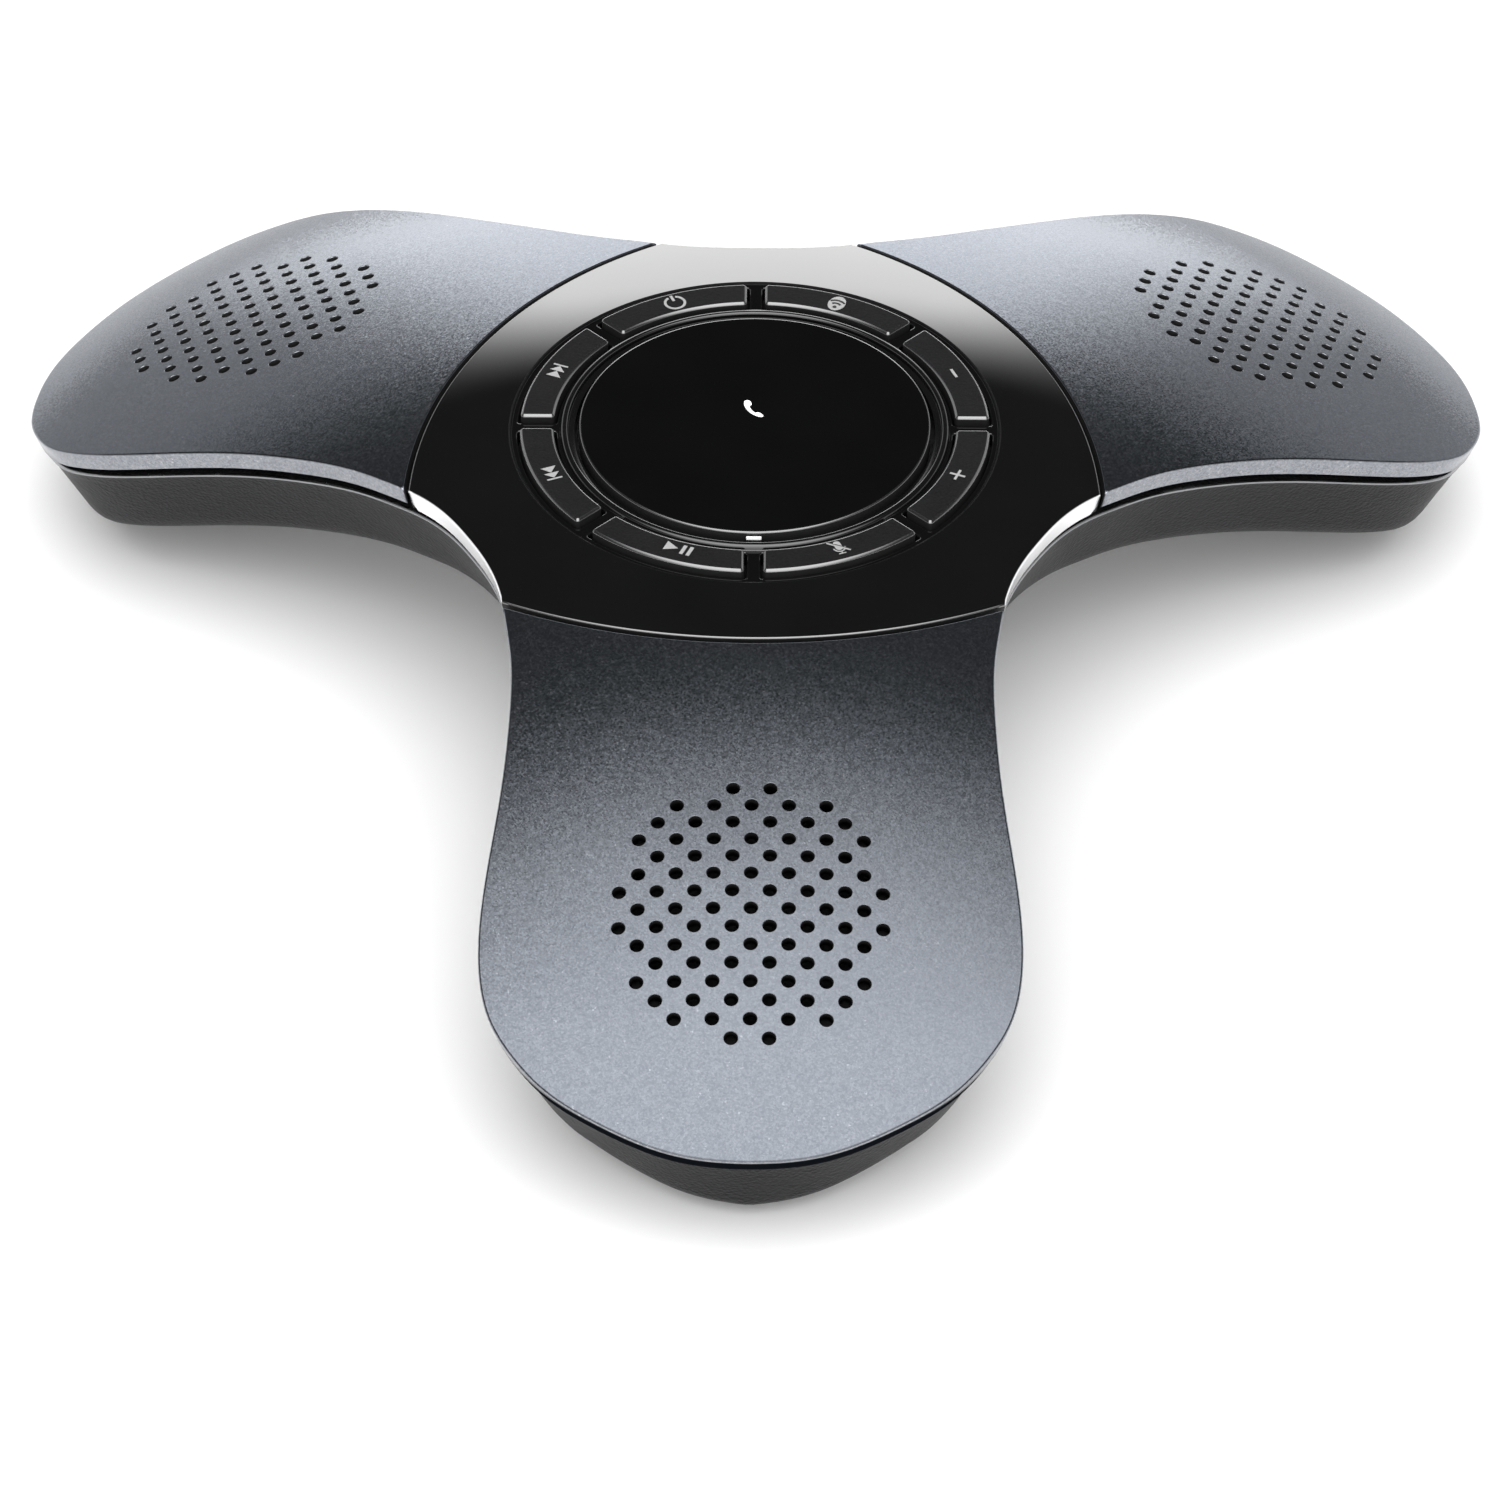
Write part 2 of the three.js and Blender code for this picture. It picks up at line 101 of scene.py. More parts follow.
def slope(r):
    return (prof(r + 0.01) - prof(r - 0.01)) / 0.02

CENTRE = np.array([0.0, 0.0, -SPHERE_R])

def at(p, d=0.0):
    """Points at depth d under the top's surface, along the line to the sphere's centre."""
    p = np.asarray(p, float)
    s = np.column_stack([p, prof(np.hypot(p[:, 0], p[:, 1]))])
    v = CENTRE - s
    v /= np.linalg.norm(v, axis=1)[:, None]
    return s + v * (np.asarray(d, float).reshape(-1, 1) if np.ndim(d) else d)

def drop(p, t):
    """Points straight under the top's surface."""
    p = np.asarray(p, float)
    return np.column_stack([p, prof(np.hypot(p[:, 0], p[:, 1])) - t])

def dome_n(p):
    p = np.asarray(p, float)
    r = np.maximum(np.hypot(p[:, 0], p[:, 1]), 1e-9)
    g = slope(r)
    n = np.column_stack([-g * p[:, 0] / r, -g * p[:, 1] / r, np.ones(len(p))])
    return n / np.linalg.norm(n, axis=1)[:, None]

def spline(xs, ys, x):
    """Cubic spline with flat ends."""
    xs, ys = np.asarray(xs, float), np.asarray(ys, float)
    n = len(xs)
    h = np.diff(xs)
    a, b = np.zeros((n, n)), np.zeros(n)
    a[0, 0], a[0, 1], b[0] = 2 * h[0], h[0], 6 * ((ys[1] - ys[0]) / h[0])
    a[-1, -1], a[-1, -2], b[-1] = 2 * h[-1], h[-1], 6 * (-(ys[-1] - ys[-2]) / h[-1])
    for i in range(1, n - 1):
        a[i, i - 1], a[i, i], a[i, i + 1] = h[i - 1], 2 * (h[i - 1] + h[i]), h[i]
        b[i] = 6 * ((ys[i + 1] - ys[i]) / h[i] - (ys[i] - ys[i - 1]) / h[i - 1])
    m = np.linalg.solve(a, b)
    x = np.asarray(x, float)
    k = np.clip(np.searchsorted(xs, x, side="right") - 1, 0, n - 2)
    t0, t1 = xs[k + 1] - x, x - xs[k]
    return (m[k] * t0 ** 3 + m[k + 1] * t1 ** 3) / (6 * h[k]) + (ys[k] / h[k] - m[k] * h[k] / 6) * t0 + (ys[k + 1] / h[k] - m[k + 1] * h[k] / 6) * t1

KNOT_A = [0, 5, 10, 14, 17, 19.5, 22, 25, 29, 34, 39, 43.1, 50, 60]
KNOT_R = [135.16, 134.40, 131.48, 128.13, 124.02, 118.85, 109.07, 92.41, 77.51, 66.94, 60.98, 57.45, 53.91, 52.51]

def outline_r(a):
    return spline(KNOT_A, KNOT_R, np.abs(a))

def outline_pt(a):
    a = np.atleast_1d(np.asarray(a, float))
    r = outline_r(a)
    return np.column_stack([r * np.sin(a * DEG), r * np.cos(a * DEG)])

def resample(p, step, closed=False):
    p = np.asarray(p, float)
    if closed:
        p = np.vstack([p, p[:1]])
    s = np.concatenate([[0], np.cumsum(np.linalg.norm(np.diff(p, axis=0), axis=1))])
    n = max(2, int(round(s[-1] / step)) + 1)
    u = np.linspace(0, s[-1], n)
    q = np.column_stack([np.interp(u, s, p[:, 0]), np.interp(u, s, p[:, 1])])
    return q[:-1] if closed else q

def corner_angle(radius):
    """Angle from the arm's axis at which the outline meets the seam circle."""
    lo, hi = 35.0, 50.0
    f = lambda a: math.hypot(*(outline_pt(a)[0] - np.array([0, SEAM_C]))) - radius
    for _ in range(50):
        mid = (lo + hi) / 2
        lo, hi = (lo, mid) if f(lo) * f(mid) <= 0 else (mid, hi)
    return (lo + hi) / 2

def turned(p, a):
    c, s = math.cos(a * DEG), math.sin(a * DEG)
    p = np.asarray(p, float)
    q = p.copy()
    q[:, 0], q[:, 1] = c * p[:, 0] - s * p[:, 1], s * p[:, 0] + c * p[:, 1]
    return q

def outward(q):
    """Mitred outward normals of a closed anticlockwise loop."""
    a, b = np.roll(q, 1, axis=0), np.roll(q, -1, axis=0)
    t1, t2 = q - a, b - q
    t1 /= np.maximum(np.linalg.norm(t1, axis=1), 1e-9)[:, None]
    t2 /= np.maximum(np.linalg.norm(t2, axis=1), 1e-9)[:, None]
    n1, n2 = np.column_stack([t1[:, 1], -t1[:, 0]]), np.column_stack([t2[:, 1], -t2[:, 0]])
    return (n1 + n2) / np.maximum(1 + (n1 * n2).sum(1), 0.3)[:, None]

def rounded(poly, radius, step=0.15, sharp=25.0, share=0.45):
    """An anticlockwise polygon whose sharp corners are rounded."""
    poly = np.asarray(poly, float)
    out = []
    n = len(poly)
    for i in range(n):
        p, a, b = poly[i], poly[i - 1], poly[(i + 1) % n]
        u, v = a - p, b - p
        lu, lv = np.linalg.norm(u), np.linalg.norm(v)
        u, v = u / lu, v / lv
        ang = math.acos(max(-1, min(1, float(u @ v))))
        if math.degrees(math.pi - ang) < sharp:
            out.append(p)
            continue
        cut = min(radius / math.tan(ang / 2), lu * share, lv * share)
        r = cut * math.tan(ang / 2)
        bis = (u + v) / np.linalg.norm(u + v)
        c = p + bis * (r / math.sin(ang / 2))
        s0, s1 = p + u * cut - c, p + v * cut - c
        a0 = math.atan2(s0[1], s0[0])
        turn = math.atan2(s0[0] * s1[1] - s0[1] * s1[0], float(s0 @ s1))
        k = max(3, int(abs(turn) * r / step))
        for j in range(k + 1):
            t = a0 + turn * j / k
            out.append(c + r * np.array([math.cos(t), math.sin(t)]))
    return np.array(out)

# ---------------------------------------------------------------- mesh building
class Build:
    def __init__(self):
        self.v, self.f, self.n, self.m = [], [], [], []

    def points(self, p):
        i0 = len(self.v)
        self.v.extend(map(tuple, np.asarray(p, float)))
        return np.arange(i0, i0 + len(p))

    def face(self, idx, normals, mat=0):
        self.f.append(tuple(int(i) for i in idx))
        self.n.extend(map(tuple, normals))
        self.m.append(mat)

    def strip(self, rings, first=None, last=None, n_first=None, n_last=None, sign=None, smooth=40.0, mat=0, closed=True, mats=None, skip=()):
        """Quads between rings of points. first and last are vertex numbers to share, n_first and n_last normals to meet, skip the (ring, point) quads to leave open."""
        P = np.asarray(rings, float)
        K, N = P.shape[:2]
        idx = [first if first is not None else self.points(P[0])]
        for k in range(1, K - 1):
            idx.append(self.points(P[k]))
        idx.append(last if last is not None else self.points(P[-1]))
        T = np.roll(P, -1, axis=1) - np.roll(P, 1, axis=1)
        if not closed:
            T[:, 0], T[:, -1] = P[:, 1] - P[:, 0], P[:, -1] - P[:, -2]
        seg = []
        for k in range(K - 1):
            c = np.cross(T[k] + T[k + 1], P[k + 1] - P[k])
            seg.append(c / np.maximum(np.linalg.norm(c, axis=1), 1e-12)[:, None])
        if sign is None:
            sign = 1.0 if float((seg[0] * n_first).sum()) > 0 else -1.0
        seg = [s * sign for s in seg]
        cosang = math.cos(smooth * DEG)
        lo, hi = [None] * K, [None] * K  # normals of ring k on its earlier and later side
        for k in range(K):
            a = seg[k - 1] if k > 0 else None
            b = seg[k] if k < K - 1 else None
            if a is None:
                hi[k] = np.broadcast_to(n_first, b.shape) if n_first is not None else b
            elif b is None:
                lo[k] = np.broadcast_to(n_last, a.shape) if n_last is not None else a
            else:
                soft = ((a * b).sum(1) > cosang)[:, None]
                mid = a + b
                mid = mid / np.maximum(np.linalg.norm(mid, axis=1), 1e-12)[:, None]
                lo[k], hi[k] = np.where(soft, mid, a), np.where(soft, mid, b)
        M = N if closed else N - 1
        for k in range(K - 1):
            mk = mats[k] if mats is not None else mat
            for i in range(M):
                if (k, i) in skip:
                    continue
                mi = mk if np.ndim(mk) == 0 else int(mk[i])
                j = (i + 1) % N
                q = [idx[k][i], idx[k][j], idx[k + 1][j], idx[k + 1][i]]
                nn = [hi[k][i], hi[k][j], lo[k + 1][j], lo[k + 1][i]]
                if sign < 0:
                    q.reverse(), nn.reverse()
                self.face(q, nn, mi)
        self.rings = idx
        return idx[-1]

    def cap(self, loops, place, normal, step=2.5, mat=0, up=True, inner=None):
        """Triangles over the region between loops, given as (plan points, vertex numbers); the first loop is the outer one."""
        coords = np.vstack([l[0] for l in loops])
        number = list(np.concatenate([l[1] for l in loops]))
        edges, k = [], 0
        for l, _ in loops:
            n = len(l)
            edges += [(k + i, k + (i + 1) % n) for i in range(n)]
            k += n
        E0 = coords[[a for a, _ in edges]]
        E1 = coords[[b for _, b in edges]]
        def inside(q):
            out = np.zeros(len(q), bool)
            for s in range(0, len(q), 2000):
                x, y = q[s:s + 2000, 0][:, None], q[s:s + 2000, 1][:, None]
                c = (E0[:, 1] > y) != (E1[:, 1] > y)
                dy = np.where(E1[:, 1] == E0[:, 1], 1e-12, E1[:, 1] - E0[:, 1])
                xx = (E1[:, 0] - E0[:, 0]) * (y - E0[:, 1]) / dy + E0[:, 0]
                out[s:s + 2000] = (c & (x < xx)).sum(1) % 2 == 1
            return out
        if step:
            lo, hi = coords.min(0), coords.max(0)
            rows, y, odd = [], lo[1] + step * 0.37, 0
            while y < hi[1]:
                xs = np.arange(lo[0] + step * (0.31 + 0.5 * odd), hi[0], step)
                rows.append(np.column_stack([xs, np.full(len(xs), y)]))
                y += step * 0.866
                odd = 1 - odd
            grid = np.vstack(rows) if rows else np.zeros((0, 2))
            grid = grid[inside(grid)]
            if len(grid):
                near = np.ones(len(grid), bool)
                for s in range(0, len(grid), 500):
                    d = ((grid[s:s + 500, None, :] - coords[None, :, :]) ** 2).sum(2).min(1)
                    near[s:s + 500] = d > (0.45 * step) ** 2
                grid = grid[near]
        else:
            grid = np.zeros((0, 2))
        if inner is not None and len(inner):
            grid = np.vstack([grid, inner])
        if len(grid):
            number += list(self.points(place(grid)))
        allp = np.vstack([coords, grid])
        vs, _, fs, ov, _, _ = delaunay_2d_cdt([Vector(p) for p in allp], edges, [], 0, 1e-7)
        back = [o[0] if o else -1 for o in ov]
        tri = [f for f in fs if all(back[i] >= 0 for i in f)]
        V = np.array([v[:] for v in vs])
        keep = inside(np.array([V[list(f)].mean(0) for f in tri]))
        nn = normal(allp)
        for f, ok in zip(tri, keep):
            if not ok:
                continue
            a, b, c = V[f[0]], V[f[1]], V[f[2]]
            area = (b[0] - a[0]) * (c[1] - a[1]) - (b[1] - a[1]) * (c[0] - a[0])
            if abs(area) < 1e-9:
                continue
            g = list(f) if area > 0 else list(f)[::-1]
            if not up:
                g.reverse()
            self.face([number[back[i]] for i in g], [nn[back[i]] for i in g], mat)

    def box(self, x0, x1, y0, y1, z0, z1, bevel=0.0, mat=0):
        loop = rounded([[x0, y0], [x1, y0], [x1, y1], [x0, y1]], max(bevel, 0.01), step=0.1) if bevel else np.array([[x0, y0], [x1, y0], [x1, y1], [x0, y1]], float)
        self.prism(loop, z0, z1, bevel * 0.6, mat)

    def prism(self, loop, z0, z1, bevel=0.0, mat=0, both=True):
        """A closed prism over an anticlockwise loop, with a rounded upper edge."""
        n = outward(loop)
        lift = lambda o, z: np.column_stack([loop + n * o, np.full(len(loop), z)])
        rings = []
        if bevel:
            rings += [lift(-bevel + bevel * math.sin(a * DEG), z1 - bevel + bevel * math.cos(a * DEG)) for a in (0, 22, 45, 67, 90)]
        else:
            rings += [lift(0, z1)]
        if bevel and both:
            rings += [lift(-bevel + bevel * math.cos(a * DEG), z0 + bevel - bevel * math.sin(a * DEG)) for a in (0, 22, 45, 67, 90)]
        else:
            rings += [lift(0, z0)]
        upn, dnn = np.array([0, 0, 1.0]), np.array([0, 0, -1.0])
        i0 = self.points(rings[0])
        i1 = self.strip(rings, first=i0, n_first=upn if bevel else None, n_last=dnn if bevel and both else None, sign=-1.0, mat=mat)
        t, b = rings[0][:, :2], rings[-1][:, :2]
        self.cap([(t, i0)], lambda q: np.column_stack([q, np.full(len(q), z1)]), lambda q: np.tile(upn, (len(q), 1)), step=0, mat=mat)
        self.cap([(b, i1)], lambda q: np.column_stack([q, np.full(len(q), z0)]), lambda q: np.tile(dnn, (len(q), 1)), step=0, mat=mat, up=False)

    def object(self, name, mats, turn=0.0, tilt=None, origin=None):
        """The mesh as an object in the row frame. tilt is a 4x4 in hub millimetres applied before the turn."""
        v = np.array(self.v, float)
        n = np.array(self.n, float)
        if tilt is not None:
            t = np.array(tilt, float)
            v = v @ t[:3, :3].T + t[:3, 3]
            n = n @ t[:3, :3].T
        v, n = turned(v, turn), turned(n, turn)
        v = v / 1000.0 + HUB
        me = bpy.data.meshes.new(name)
        me.from_pydata(v.tolist(), [], self.f)
        me.update()
        me.polygons.foreach_set("use_smooth", [True] * len(me.polygons))
        me.polygons.foreach_set("material_index", self.m)
        for m in mats:
            me.materials.append(m)
        me.normals_split_custom_set([tuple(x) for x in n])
        me.update()
        ob = bpy.data.objects.new(name, me)
        SCENE.collection.objects.link(ob)
        return ob

def bend(o, r, a0=0, a1=90, n=5):
    """Offsets and depths of a rounded outer edge of radius r that ends at offset o."""
    return [(o - r + r * math.sin(a * DEG), r - r * math.cos(a * DEG)) for a in np.linspace(a0, a1, n)]

# ---------------------------------------------------------------- materials
class Nodes:
    """A short way to write node trees."""
    def __init__(self, name):
        self.mat = bpy.data.materials.new(name)
        self.mat.use_nodes = True
        self.t = self.mat.node_tree
        self.t.nodes.clear()
        self.out = self.t.nodes.new("ShaderNodeOutputMaterial")
        self.co = self.t.nodes.new("ShaderNodeTexCoord").outputs["Object"]

    def put(self, socket, value):
        if hasattr(value, "links"):
            self.t.links.new(value, socket)
        elif value is not None:
            if isinstance(value, tuple) and len(value) == 3 and len(getattr(socket, "default_value", ())) == 4:
                value = (*value, 1.0)
            socket.default_value = value

    def node(self, kind, out=0, **ins):
        n = self.t.nodes.new(kind)
        for k, v in list(ins.items()):
            if k.startswith("p_"):
                setattr(n, k[2:], v)
        for k, v in ins.items():
            if k.startswith("i_"):
                key = k[2:]
                self.put(n.inputs[int(key)] if key.isdigit() else n.inputs[key.replace("_", " ")], v)
        return n.outputs[out]

    def math(self, op, a, b=None, c=None, clamp=False):
        return self.node("ShaderNodeMath", p_operation=op, p_use_clamp=clamp, i_0=a, i_1=b, i_2=c)

    def noise(self, mm, detail=3.0, rough=0.5, co=None, out="Fac", distortion=0.0):
        return self.node("ShaderNodeTexNoise", out=out, i_Vector=self.co if co is None else co, i_Scale=1000.0 / mm, i_Detail=detail, i_Roughness=rough, i_Distortion=distortion)

    def voronoi(self, mm, out="Color", feature="F1", co=None, random=1.0):
        return self.node("ShaderNodeTexVoronoi", out=out, p_feature=feature, i_Vector=self.co if co is None else co, i_Scale=1000.0 / mm, i_Randomness=random)

    def ramp(self, fac, stops):
        n = self.t.nodes.new("ShaderNodeValToRGB")
        e = n.color_ramp.elements
        while len(e) < len(stops):
            e.new(0.5)
        for s, (pos, col) in zip(e, stops):
            s.position = pos
            s.color = (col, col, col, 1) if not isinstance(col, tuple) else (*col, 1)
        self.put(n.inputs[0], fac)
        return n.outputs[0]

    def mix(self, fac, a, b):
        n = self.t.nodes.new("ShaderNodeMix")
        n.data_type = "RGBA"
        self.put(n.inputs[0], fac)
        self.put(n.inputs[6], a)
        self.put(n.inputs[7], b)
        return n.outputs[2]

    def range(self, v, a, b, lo=0.0, hi=1.0):
        return self.node("ShaderNodeMapRange", i_Value=v, i_1=lo, i_2=hi, i_3=a, i_4=b)

    def bump(self, height, strength, mm, normal=None):
        return self.node("ShaderNodeBump", i_Strength=strength, i_Distance=mm / 1000.0, i_Height=height, i_Normal=normal)

    def surface(self, **ins):
        n = self.t.nodes.new("ShaderNodeBsdfPrincipled")
        for k, v in ins.items():
            self.put(n.inputs[k.replace("_", " ")], v)
        self.t.links.new(n.outputs[0], self.out.inputs[0])
        return self.mat

def moulded(name, color, rough, grain, depth, spec=0.5, vary=0.15, coat=0.0):
    """Moulded plastic or rubber with a fine spark-eroded grain and faint handling marks."""
    m = Nodes(name)
    fine = m.noise(grain, 2.0, 0.6)
    cells = m.voronoi(grain * 1.4, out="Distance")
    mott = m.noise(9.0, 4.0, 0.6)
    h = m.math("ADD", m.math("MULTIPLY", fine, 0.6), m.math("MULTIPLY", cells, 0.5))
    tone = m.math("ADD", m.math("MULTIPLY", fine, 0.7), m.math("MULTIPLY", mott, 0.6))
    lo, hi = tuple(c * (1 - vary) for c in color), tuple(c * (1 + vary) for c in color)
    col = m.mix(m.range(tone, 0, 1, 0.4, 0.9), lo, hi)
    r = m.range(m.math("ADD", m.math("MULTIPLY", mott, 0.6), m.math("MULTIPLY", fine, 0.4)), rough - 0.07, rough + 0.07, 0.3, 0.7)
    return m.surface(Base_Color=col, Roughness=r, Specular_IOR_Level=spec, Coat_Weight=coat, Coat_Roughness=0.2, Normal=m.bump(h, 1.0, depth))

def paint(name, dark, mid, light, spark, rough=0.3, lean=0.09, metal=0.9, coat=0.1, shade_facing_down=False):
    """Metallic paint: flakes of slightly different tone and tilt under a satin clear coat. With the last flag set,
    shade is painted in where the edge faces down: colour, metal and coat fade to near-black.
    """
    m = Nodes(name)
    flake = m.voronoi(0.25, out="Color")
    big = m.voronoi(0.5, out="Color", co=m.node("ShaderNodeVectorMath", p_operation="ADD", i_0=m.co, i_1=(0.013, 0.007, 0.021)))
    sep = m.node("ShaderNodeSeparateColor", i_0=flake)
    sep2 = m.node("ShaderNodeSeparateColor", out=1, i_0=big)
    tone = m.math("ADD", m.math("MULTIPLY", sep, 0.7), m.math("MULTIPLY", sep2, 0.3))
    cloud = m.noise(14.0, 3.0, 0.5)
    t = m.math("ADD", tone, m.math("MULTIPLY", m.math("SUBTRACT", cloud, 0.5), 0.2))
    col = m.ramp(t, [(0.0, dark), (0.5, mid), (0.95, light), (1.0, spark)])
    # Each flake leans its own way.
    tilt = m.node("ShaderNodeVectorMath", p_operation="SUBTRACT", i_0=flake, i_1=(0.5, 0.5, 0.5))
    geo = m.t.nodes.new("ShaderNodeNewGeometry").outputs["Normal"]
    nrm = m.node("ShaderNodeVectorMath", p_operation="MULTIPLY_ADD", i_0=tilt, i_1=(lean, lean, lean), i_2=geo)
    nrm = m.node("ShaderNodeVectorMath", p_operation="NORMALIZE", i_0=nrm)
    peel = m.noise(0.5, 2.0, 0.5)
    nrm = m.bump(peel, 0.4, 0.006, nrm)
    if shade_facing_down:
        # painted shade: the more the surface faces down, the more the paint fades to near-black, standing in for the
        # dark that a down-facing edge reflects
        down = m.node("ShaderNodeSeparateXYZ", out=2, i_0=geo)
        down_shade = m.node("ShaderNodeMapRange", p_interpolation_type="SMOOTHSTEP", i_Value=down, i_1=-0.20, i_2=-0.33, i_3=0.0, i_4=1.0)
        col = m.mix(down_shade, col, (0.004, 0.005, 0.007))
        left = m.math("SUBTRACT", 1.0, down_shade)
        coat, metal = m.math("MULTIPLY", left, coat), m.math("MULTIPLY", left, metal)
        return m.surface(Base_Color=col, Metallic=metal, Roughness=rough, Coat_Weight=coat, Coat_Roughness=0.25, Normal=nrm, Specular_IOR_Level=m.math("MULTIPLY", left, 0.5))
    return m.surface(Base_Color=col, Metallic=metal, Specular_Tint=(0.85, 0.86, 0.88, 1.0), Roughness=m.range(tone, rough - 0.04, rough + 0.05), Coat_Weight=coat, Coat_Roughness=0.25, Normal=nrm)

def gloss(name, base=0.004, rough=0.035, ior=1.9):
    """Polished black plastic with a trace of orange peel and hairline wear."""
    m = Nodes(name)
    wave = m.noise(14.0, 2.0, 0.4)
    hair = m.noise(0.8, 3.0, 0.7, distortion=2.0)
    r = m.range(hair, rough, rough + 0.03, 0.35, 0.7)
    col = m.mix(wave, (base, base, base), (base * 1.6, base * 1.6, base * 1.7))
    return m.surface(Base_Color=col, Roughness=r, IOR=ior, Normal=m.bump(wave, 0.25, 0.02))

def polished(name):
    """Bright polished metal edge with a faint waviness."""
    m = Nodes(name)
    wave = m.noise(9.0, 2.0, 0.4)
    fine = m.noise(1.2, 2.0, 0.5)
    return m.surface(Base_Color=m.mix(wave, (0.84, 0.84, 0.85), (0.93, 0.93, 0.94)), Metallic=1.0, Roughness=m.range(fine, 0.05, 0.1), Normal=m.bump(wave, 0.3, 0.05))

def printed(name, level, painted_glow=0.0):
    """Screen printed ink: slightly uneven cover, matt, with an optional painted glow of its own."""
    m = Nodes(name)
    n = m.noise(0.35, 3.0, 0.6)
    col = m.mix(m.range(n, 0, 1, 0.3, 0.7), (level * 0.86,) * 3, (level * 1.06,) * 3)
    return m.surface(Base_Color=col, Roughness=0.55, Emission_Color=(1.0, 1.0, 1.0), Emission_Strength=painted_glow, Normal=m.bump(n, 0.4, 0.01))

def lens(name):
    """Milky light guide."""
    m = Nodes(name)
    n = m.noise(0.6, 2.0, 0.5)
    return m.surface(Base_Color=m.mix(n, (0.86, 0.87, 0.88), (0.95, 0.95, 0.96)), Roughness=0.22, Transmission_Weight=0.15, Emission_Color=(1.0, 1.0, 1.0), Emission_Strength=0.3, Normal=m.bump(n, 0.3, 0.02))

def steel(name, tone=0.55, rough=0.28, lines=True):
    """Plated steel with turning marks and faint stains."""
    m = Nodes(name)
    st = m.noise(6.0, 4.0, 0.6)
    fine = m.noise(0.25, 2.0, 0.5)
    h = fine
    if lines:
        stretch = m.node("ShaderNodeMapping", i_Vector=m.co, i_Scale=(1.0, 1.0, 14.0))
        h = m.math("ADD", m.math("MULTIPLY", fine, 0.4), m.math("MULTIPLY", m.noise(1.6, 3.0, 0.6, co=stretch), 0.6))
    col = m.mix(m.range(st, 0, 1, 0.3, 0.7), (tone * 0.8, tone * 0.82, tone * 0.86), (tone, tone * 1.01, tone * 1.03))
    return m.surface(Base_Color=col, Metallic=1.0, Roughness=m.range(st, rough - 0.06, rough + 0.1, 0.3, 0.7), Normal=m.bump(h, 0.6, 0.02))

def laminate(name):
    """Green solder mask over copper tracks and vias."""
    m = Nodes(name)
    trk = m.node("ShaderNodeTexBrick", i_Vector=m.co, i_Scale=260.0, i_Color1=(1, 1, 1), i_Color2=(0.7, 0.7, 0.7), i_Mortar=(0, 0, 0), i_Mortar_Size=0.06)
    via = m.math("LESS_THAN", m.voronoi(3.4, out="Distance"), 0.16)
    base = m.mix(trk, (0.02, 0.11, 0.045), (0.012, 0.072, 0.03))
    col = m.mix(via, base, (0.55, 0.48, 0.22))
    return m.surface(Base_Color=col, Roughness=m.range(m.noise(1.0), 0.3, 0.5), Metallic=m.math("MULTIPLY", via, 0.8), Normal=m.bump(m.math("ADD", trk, via), 0.5, 0.03))

def pouch(name):
    """Laminated foil pouch of a battery cell, with light creases."""
    m = Nodes(name)
    crease = m.noise(7.0, 5.0, 0.65, distortion=1.2)
    return m.surface(Base_Color=m.mix(crease, (0.30, 0.33, 0.37), (0.47, 0.50, 0.54)), Metallic=0.75, Roughness=m.range(crease, 0.24, 0.42), Normal=m.bump(crease, 0.8, 0.12))

def paper(name):
    """Black pressed paper of a loudspeaker cone, with its fibres."""
    m = Nodes(name)
    fib = m.noise(0.5, 5.0, 0.75, distortion=1.5)
    big = m.noise(3.0, 3.0, 0.5)
    return m.surface(Base_Color=m.mix(fib, (0.006, 0.006, 0.007), (0.016, 0.016, 0.017)), Roughness=m.range(big, 0.8, 0.95), Normal=m.bump(fib, 0.8, 0.05))

